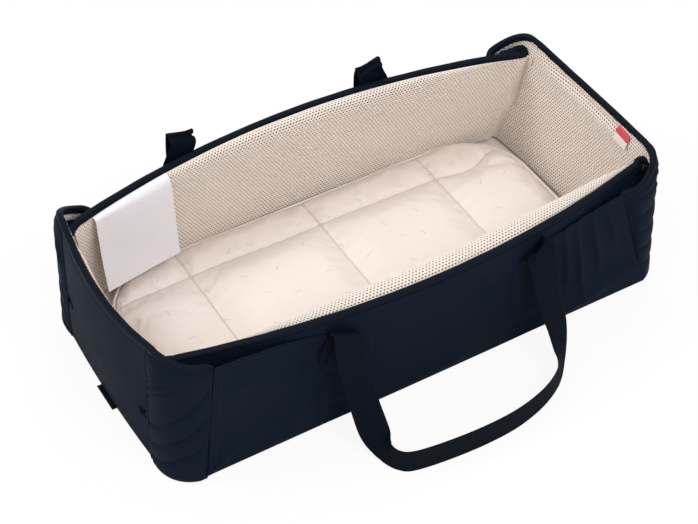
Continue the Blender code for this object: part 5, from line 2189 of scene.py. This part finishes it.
@dataclass
class Mattress:
    """Quilted pad with round corners, filled by simulation, and its piped edge."""

    length: float = 0.626
    width: float = 0.3268
    corner: float = 0.090
    thickness: float = 0.031
    edge: float = 0.020
    round: float = 0.030
    piping: float = 0.005
    piping_out: float = 0.0026
    lift: float = 0.0003
    rows: tuple[int, int] = (40, 11)
    seam_offset: float = 0.105
    stations: tuple[float, ...] = (-0.197, 0.0, 0.185)
    groove: float = 0.0052
    step: float = 0.0052
    gather: float = 0.0007
    gather_reach: float = 0.008
    # Width of the painted shade along the seams.
    crease: float = 0.0021
    filling: Filling = Filling()

    def build(self, workshop: Workshop) -> None:
        """Makes the pad, its piping and its quilting stitches."""
        pad = self._pad()
        fit_out(pad, COT, COTTON, ("mattress",))
        self._stitches(pad, workshop)
        self._piping()

    def seam(self, x: Array) -> Array:
        """How far from the middle the long seams lie."""
        pinch = -0.010 * np.exp(-(((x - 0.232) / 0.030) ** 2))
        spread = 0.012 * ease((x - 0.245) / 0.05)
        return self.seam_offset + pinch + spread + 0.0012 * np.sin(x * 31)

    def _grid(self) -> tuple[Array, Array, Array]:
        """Places of the pad's points, and which rows are seams."""
        half_x, half_y = self.length / 2, self.width / 2
        xs, halves = rounded_columns(half_x, half_y, self.corner, self.step, self.stations)
        halves = halves - 0.002 * np.cos(math.pi * xs / self.length)
        seams = np.minimum(self.seam(xs), halves * 0.86)
        inner_rows, outer_rows = self.rows
        outer = np.linspace(0, 1, outer_rows, endpoint=False)
        inner = np.linspace(-1, 1, inner_rows, endpoint=False)
        rows = [
            mix(-halves[:, None], -seams[:, None], outer),
            seams[:, None] * inner,
            mix(seams[:, None], halves[:, None], np.linspace(0, 1, outer_rows + 1)),
        ]
        y = np.concatenate(rows, axis=1)
        sewn_rows = np.zeros(y.shape, bool)
        sewn_rows[:, outer_rows] = True
        sewn_rows[:, outer_rows + inner_rows] = True
        return xs[:, None] * np.ones(y.shape[1]), y, sewn_rows

    def _edge_gap(self, x: Array, y: Array) -> Array:
        """Distance in from the pad's outline."""
        half_x, half_y = self.length / 2, self.width / 2
        in_x, in_y = np.abs(x) - (half_x - self.corner), np.abs(y) - (half_y - self.corner)
        at_corner = self.corner - np.hypot(in_x, in_y)
        return np.where((in_x > 0) & (in_y > 0), at_corner, np.minimum(half_x - np.abs(x), half_y - np.abs(y)))

    def _pad(self) -> Thing:
        """The pad's closed form."""
        x, y, sewn_rows = self._grid()
        gap = np.maximum(self._edge_gap(x, y), 0)
        crown = rounded(gap, self.round)
        cross = np.min([np.abs(x - station) for station in self.stations], axis=0)
        lengthwise = np.abs(np.abs(y) - self.seam(x))
        near = np.minimum(cross, lengthwise)
        valley = self.groove * np.exp(-near / self.gather_reach)
        along, over = (np.exp(-part / self.gather_reach) for part in (lengthwise, cross))
        gathers = self.gather * np.sin(x * 330) * along + self.gather * np.sin(y * 310) * over
        height = mix(self.edge - 0.002, self.thickness, crown) - (valley - gathers) * crown
        height = height + 0.0008 * ripple(x, y, 0.06, 81) * crown
        base = SHELL.floor + self.lift
        top, bottom = stacked(x, y, base + height), stacked(x, y, base)
        item = Draft("mattress_pad").sheet(top, bottom, stacked(x, y)).done(80)
        held = np.where(sewn_rows | (cross < 0.0003), 1.0, 0.0) * (gap > 0.008)
        held[0], held[-1], held[:, 0], held[:, -1] = 1, 1, 1, 1
        # Painted shade along the quilting grooves, kept as the seam attribute for the cotton's colour.
        painted_seam_shade = np.exp(-((near / self.crease) ** 2)) * (gap > 0.004)
        marks = np.concatenate([painted_seam_shade.ravel(), np.zeros(held.size)])
        item.data.attributes.new("seam", "FLOAT", "POINT").data.foreach_set("value", marks.astype(np.float32))
        self.filling.blow_up(item, np.concatenate([held.ravel(), np.ones(held.size)]))
        subdivided(item)
        return item

    def _stitches(self, pad: Thing, workshop: Workshop) -> None:
        """Quilting stitches in the pad's grooves and round its edge."""
        tree = BVHTree.FromObject(pad, bpy.context.evaluated_depsgraph_get())
        half_x, half_y = self.length / 2, self.width / 2
        xs = np.linspace(-half_x + 0.012, half_x - 0.012, 300)
        ys = np.linspace(-half_y + 0.006, half_y - 0.006, 160)
        lines = [stacked(xs, sign * np.minimum(self.seam(xs), half_y)) for sign in (-1, 1)]
        lines += [stacked(station, ys) for station in self.stations]
        lines.append(self._ring(-0.0065, 0.0)[:, :2])
        for line in lines:
            points = []
            for x, y in line:
                hit = tree.ray_cast(Vector((x, y, 0.08)), Vector((0, 0, -1)))[0]
                if hit is not None and hit.z > 0.02:
                    points.append((x, y, hit.z + 0.0001))
            workshop.sew("mattress_stitches", np.array(points))
        workshop.stitch("mattress_stitches", COT, CREAM_THREAD, 0.0036, 0.0006)

    def _ring(self, out: float, z: float) -> Array:
        """Closed line round the pad, a little out from its edge."""
        return even_line(rounded_ring(self.length / 2, self.width / 2, self.corner, out, 16, z), 0.004)

    def _piping(self) -> None:
        """Cord round the pad's edge, covered in the same cotton."""
        ring = self._ring(self.piping_out, SHELL.floor + self.lift + self.edge - self.piping / 2)[:-1]
        ahead = unit(np.roll(ring, -1, axis=0) - np.roll(ring, 1, axis=0))
        out = np.cross(ahead, [0, 0, 1.0])
        outline = oval(self.piping, self.piping, 12, 1.0)
        rings = ring[:, None] + out[:, None] * outline[:, 0, None] + np.array([0, 0, 1.0]) * outline[:, 1, None]
        item = Draft("mattress_edge_cord").tube(rings, closed=True).done()
        fit_out(item, COT, PLAIN_COTTON, ("mattress_piping",))


# Tags


@dataclass
class Tags:
    """Blank hang tag on the rear lining and a small woven tag on the right one."""

    hang_middle: float = -0.256
    hang_width: float = 0.112
    hang_lean: Pair = (0.026, 0.008)
    hang_course: tuple[Triple, ...] = (
        (0.02, 0.985, 0.0),
        (0.22, 1.020, 0.0),
        (0.52, 1.036, 0.0),
        (0.80, 1.026, 0.001),
        (1.0, 0.980, 0.003),
        (1.0, 0.900, 0.005),
        (1.0, 0.700, 0.005),
        (1.0, 0.450, 0.004),
        (1.0, 0.238, 0.004),
    )
    end_size: Pair = (0.028, 0.018)
    end_offset: float = -0.081
    course_scale: Triple = (0.012, 0.164, 1.0)
    thickness: float = 0.0006

    def build(self, workshop: Workshop) -> None:
        """Makes both tags."""
        self._hang_tag(workshop)
        self._end_tag(workshop)

    def _hang_tag(self, workshop: Workshop) -> None:
        """Large white tag that comes from under the rim, over the lining's roll and down to the mattress."""
        at = np.linspace(0, len(self.hang_course) - 1, 80)
        scale = np.array(self.course_scale)
        course = even_line(smooth_steps(np.array(self.hang_course), at) * scale, 0.003) / scale
        u, row = grid(np.linspace(-1, 1, 33), np.arange(len(course)))
        fall = row / (len(course) - 1)
        x = self.hang_middle + u * self.hang_width / 2 + 0.004 * fall
        belly = BELLIES[Side.REAR]
        height = belly.rolled(x, course[row, 1])
        z = belly.level(x, height) + 0.0012 * ease((height - 0.9) / 0.08)
        inward = belly.reach(x) * course[row, 0] + course[row, 2] + 0.0012
        lean = mix(self.hang_lean[0], self.hang_lean[1], (u + 1) / 2) * fall**1.4
        curl = 0.0016 * np.sin(2.6 * u + 0.5) * np.sin(math.pi * fall) + 0.0012 * ripple(x, z, 0.07, 91) * fall
        y = SHELL.side_y(x, z) - SHELL.layers - inward - lean - curl * ease(fall / 0.3)
        seen, back = stacked(x, y - self.thickness, z), stacked(x, y, z)
        item = Draft("rear_label").sheet(seen, back, stacked(x, z)).done()
        fit_out(item, Side.REAR.wall, LABEL, ("rear_hang_tag",))
        workshop.sew("rear_label_stitches", seen[:, 3] - (0, 0.0003, 0))
        workshop.stitch("rear_label_stitches", Side.REAR.wall, CREAM_THREAD, 0.003)

    def _end_tag(self, workshop: Workshop) -> None:
        """Small folded tag with one stripe and no words."""
        width, height = self.end_size
        top = float(SHELL.end_rim(self.end_offset)) - SHELL.binding + 0.002
        u, v = grid(np.linspace(-1, 1, 17), even(20))
        y = self.end_offset + u * width / 2
        z = mix(top - height, top, v)
        lift = 0.0022 + 0.0068 * np.sqrt((1 - v) * 0.999 + 0.001) + 0.0006 * (1 - v) * u
        x = SHELL.lining_x(y, z) - lift
        seen, back = stacked(x - self.thickness, y, z), stacked(x, y, z)
        item = Draft("right_label").sheet(seen, back, stacked(y, v * height)).done()
        fit_out(item, COT, TAG, ("right_end_tag",))


# Boards that the cloth hides


@dataclass
class Boards:
    """Stiffeners inside the base, ends and sides, which keep the frame's own solids."""

    nodes: tuple[str, ...] = (
        "base_board",
        "left_end_board",
        "right_end_board",
        "front_side_board",
        "rear_side_board",
    )

    def build(self) -> None:
        """Gives the boards a dark finish, darkened to stand in for the shade seen through the end slots."""
        for node in self.nodes:
            item = bpy.data.objects[node]
            item.data.materials.clear()
            item.data.materials.append(SLOT_SHADE_BOARD.material())
            LOG.info("%s: finish only", node)


# Studio


@dataclass
class Studio:
    """Pale floor, soft light and the camera at the photograph's angle."""

    place: Triple = (-0.85354, -1.39935, 1.68221)
    azimuth: float = -0.53855
    elevation: float = 0.78188
    roll: float = 0.00628
    focal_pixels: float = 1755.07
    sensor: float = 36.0
    lamps: tuple[tuple[str, Triple, float, float], ...] = (
        ("key_lamp", (-2.4, 1.3, 2.6), 1.5, 52),
        ("fill_lamp", (0.3, -2.1, 2.5), 1.8, 50),
        ("back_lamp", (1.4, 2.2, 2.4), 1.6, 22),
    )
    aim: Triple = (0, 0, 0.1)
    world_light: float = 0.6
    floor_half: float = 6.0
    floor_shade: float = 0.9

    def build(self) -> None:
        """Makes the camera, the lamps, the world and the floor."""
        self._camera()
        for lamp in self.lamps:
            self._lamp(*lamp)
        self._world()
        self._floor()
        bpy.context.scene.view_settings.view_transform = "Standard"

    def _camera(self) -> None:
        """Camera from its angles and its focal length in pixels of the image."""
        flat = math.cos(self.elevation)
        ahead = Vector((-math.sin(self.azimuth) * flat, math.cos(self.azimuth) * flat, -math.sin(self.elevation)))
        level = ahead.cross(Vector((0, 0, 1))).normalized()
        upright = level.cross(ahead)
        right = level * math.cos(self.roll) + upright * math.sin(self.roll)
        up = upright * math.cos(self.roll) - level * math.sin(self.roll)
        data = bpy.data.cameras.new("camera")
        data.sensor_width = self.sensor
        data.lens = self.focal_pixels * self.sensor / IMAGE_WIDTH
        camera = bpy.data.objects.new("camera", data)
        turn = Matrix((right, up, -ahead)).transposed().to_4x4()
        camera.matrix_world = Matrix.Translation(Vector(self.place)) @ turn
        bpy.context.scene.collection.objects.link(camera)
        bpy.context.scene.camera = camera

    def _lamp(self, name: str, place: Triple, size: float, power: float) -> None:
        """A square soft lamp that points at the cot: key from the left and above, fill in front, one behind."""
        data = bpy.data.lights.new(name, "AREA")
        data.size = size
        data.energy = power
        lamp = bpy.data.objects.new(name, data)
        lamp.location = place
        lamp.rotation_euler = (Vector(self.aim) - Vector(place)).to_track_quat("-Z", "Y").to_euler()
        bpy.context.scene.collection.objects.link(lamp)

    def _world(self) -> None:
        """White behind everything, and a softer level as light."""
        world = bpy.data.worlds.new("studio")
        bpy.context.scene.world = world
        world.use_nodes = True
        board = NodeBoard(world.node_tree)
        path = board.node("ShaderNodeLightPath")
        strength = board.spread(path.outputs["Is Camera Ray"], 0, 1, self.world_light, 1.0)
        light = world.node_tree.nodes["Background"]
        light.inputs[0].default_value = (1, 1, 1, 1)
        board.tree.links.new(strength, light.inputs[1])

    def _floor(self) -> None:
        """White floor that keeps a soft shadow."""
        mesh = bpy.data.meshes.new("floor")
        half = self.floor_half
        corners = [(x * half, y * half, -0.0004) for x, y in ((-1, -1), (1, -1), (1, 1), (-1, 1))]
        mesh.from_pydata(corners, [], [(0, 1, 2, 3)])
        floor = bpy.data.objects.new("floor", mesh)
        bpy.context.scene.collection.objects.link(floor)
        material = bpy.data.materials.new("floor_white")
        material.use_nodes = True
        board = NodeBoard(material.node_tree)
        plain = material.node_tree.nodes["Principled BSDF"]
        plain.inputs["Base Color"].default_value = (*[self.floor_shade] * 3, 1)
        plain.inputs["Roughness"].default_value = 0.9
        plain.inputs["Specular IOR Level"].default_value = 0.0
        glow = board.node("ShaderNodeEmission", {"Strength": 1.0})
        path = board.node("ShaderNodeLightPath")
        share = board.math("MULTIPLY", path.outputs["Is Camera Ray"], 0.9)
        blend = board.node("ShaderNodeMixShader", {0: share, 1: plain.outputs[0], 2: glow.outputs[0]})
        output = material.node_tree.nodes["Material Output"]
        board.tree.links.new(blend.outputs[0], output.inputs["Surface"])
        mesh.materials.append(material)


FRONT_CREASES = (
    Crease((-0.138, 0.138), (-0.200, 0.034), 0.0075, 0.0052),
    Crease((-0.149, 0.085), (-0.166, 0.006), 0.0055, 0.0036),
    Crease((-0.160, 0.150), (-0.183, 0.108), 0.0110, -0.0042),
    Crease((-0.150, 0.120), (-0.172, 0.070), 0.0080, -0.0025),
    Crease((-0.190, 0.160), (-0.290, 0.128), 0.0120, 0.0026),
    Crease((-0.330, 0.003), (-0.270, 0.048), 0.0060, 0.0042),
    Crease((-0.255, 0.012), (-0.195, 0.020), 0.0100, 0.0022),
    Crease((0.160, 0.120), (0.168, 0.010), 0.0070, 0.0040),
    Crease((0.176, 0.160), (0.187, 0.095), 0.0055, 0.0048),
    Crease((0.193, 0.162), (0.206, 0.042), 0.0065, 0.0062),
    Crease((0.214, 0.163), (0.234, 0.018), 0.0065, 0.0058),
    Crease((0.238, 0.165), (0.262, 0.050), 0.0065, 0.0050),
    Crease((0.262, 0.166), (0.284, 0.090), 0.0060, 0.0040),
    Crease((0.172, 0.010), (0.286, 0.032), 0.0080, 0.0034),
    Crease((0.083, 0.142), (0.058, 0.104), 0.0050, 0.0018),
    Crease((0.098, 0.142), (0.092, 0.096), 0.0050, 0.0022),
    Crease((0.114, 0.142), (0.122, 0.050), 0.0065, 0.0034),
    Crease((-0.103, 0.142), (-0.095, 0.108), 0.0050, 0.0020),
    Crease((-0.086, 0.143), (-0.068, 0.114), 0.0050, 0.0016),
    Crease((-0.090, 0.010), (0.060, 0.018), 0.0100, 0.0018),
)
REAR_CREASES = (
    Crease((-0.166, 0.140), (-0.215, 0.040), 0.0075, 0.0048),
    Crease((-0.175, 0.150), (-0.200, 0.105), 0.0110, -0.0040),
    Crease((-0.200, 0.158), (-0.290, 0.120), 0.0110, 0.0028),
    Crease((-0.318, 0.004), (-0.262, 0.044), 0.0070, 0.0038),
    Crease((0.140, 0.150), (0.150, 0.030), 0.0065, 0.0046),
    Crease((0.160, 0.155), (0.180, 0.050), 0.0065, 0.0050),
    Crease((0.182, 0.158), (0.215, 0.060), 0.0070, 0.0044),
    Crease((0.215, 0.160), (0.265, 0.090), 0.0090, 0.0034),
    Crease((0.075, 0.142), (0.066, 0.100), 0.0050, 0.0020),
    Crease((-0.120, 0.142), (-0.110, 0.105), 0.0050, 0.0020),
    Crease((-0.110, 0.010), (0.040, 0.020), 0.0100, 0.0018),
)
ROUTE = (
    (-1.0, 0.0, 0.01, 0.0),
    (-1.0, 0.045, -0.03, 0.0),
    (-1.0, 0.10, 0.05, 0.0),
    (-0.995, 0.15, 0.21, 0.01),
    (-0.965, 0.23, 0.46, 0.04),
    (-0.935, 0.36, 0.75, 0.12),
    (-0.92, 0.52, 0.935, 0.28),
    (-0.905, 0.69, 1.0, 0.44),
    (-0.865, 0.826, 1.0, 0.5),
    (-0.75, 0.917, 1.0, 0.5),
    (-0.43, 0.975, 1.0, 0.5),
    (-0.036, 1.0, 1.0, 0.5),
    (0.32, 0.975, 1.0, 0.5),
    (0.65, 0.876, 1.0, 0.5),
    (0.893, 0.72, 1.0, 0.54),
    (1.02, 0.53, 0.93, 0.67),
    (1.07, 0.36, 0.73, 0.81),
    (1.04, 0.23, 0.46, 0.92),
    (1.015, 0.15, 0.22, 1.0),
    (1.0, 0.10, 0.05, 1.0),
    (1.0, 0.045, -0.03, 1.0),
    (1.0, 0.0, 0.01, 1.0),
)


def main() -> None:
    """Builds every sub-assembly in order."""
    logging.basicConfig(level=logging.INFO, format="%(message)s")
    Studio().build()
    workshop = Workshop()
    Boards().build()
    Base().build(workshop)
    for end in End:
        EndWall(end).build(workshop)
        for side in Side:
            build_wrap(side, end).build(workshop)
    SideWall(Side.FRONT, pocket_from=0.14).build(workshop)
    SideWall(Side.REAR, pocket_from=0.3).build(workshop)
    front, rear = (-0.135, 0.145), (-0.160, 0.122)
    Skirt(Side.FRONT, front, creases=FRONT_CREASES).build(workshop)
    Skirt(Side.REAR, rear, creases=REAR_CREASES, left_top=0.160, right_top=0.162).build(workshop)
    Handle(Side.FRONT, front, 0.18405, 0.160, 0.121, ROUTE, (-0.17, 0.28), (-0.010, 0.012)).build(workshop)
    Handle(Side.REAR, rear, 0.18525, 0.203, 0.076, ROUTE, (-0.10, 0.10), (-0.016, 0.014)).build(workshop)
    Mattress().build(workshop)
    Tags().build(workshop)


if __name__ == "__main__":
    main()
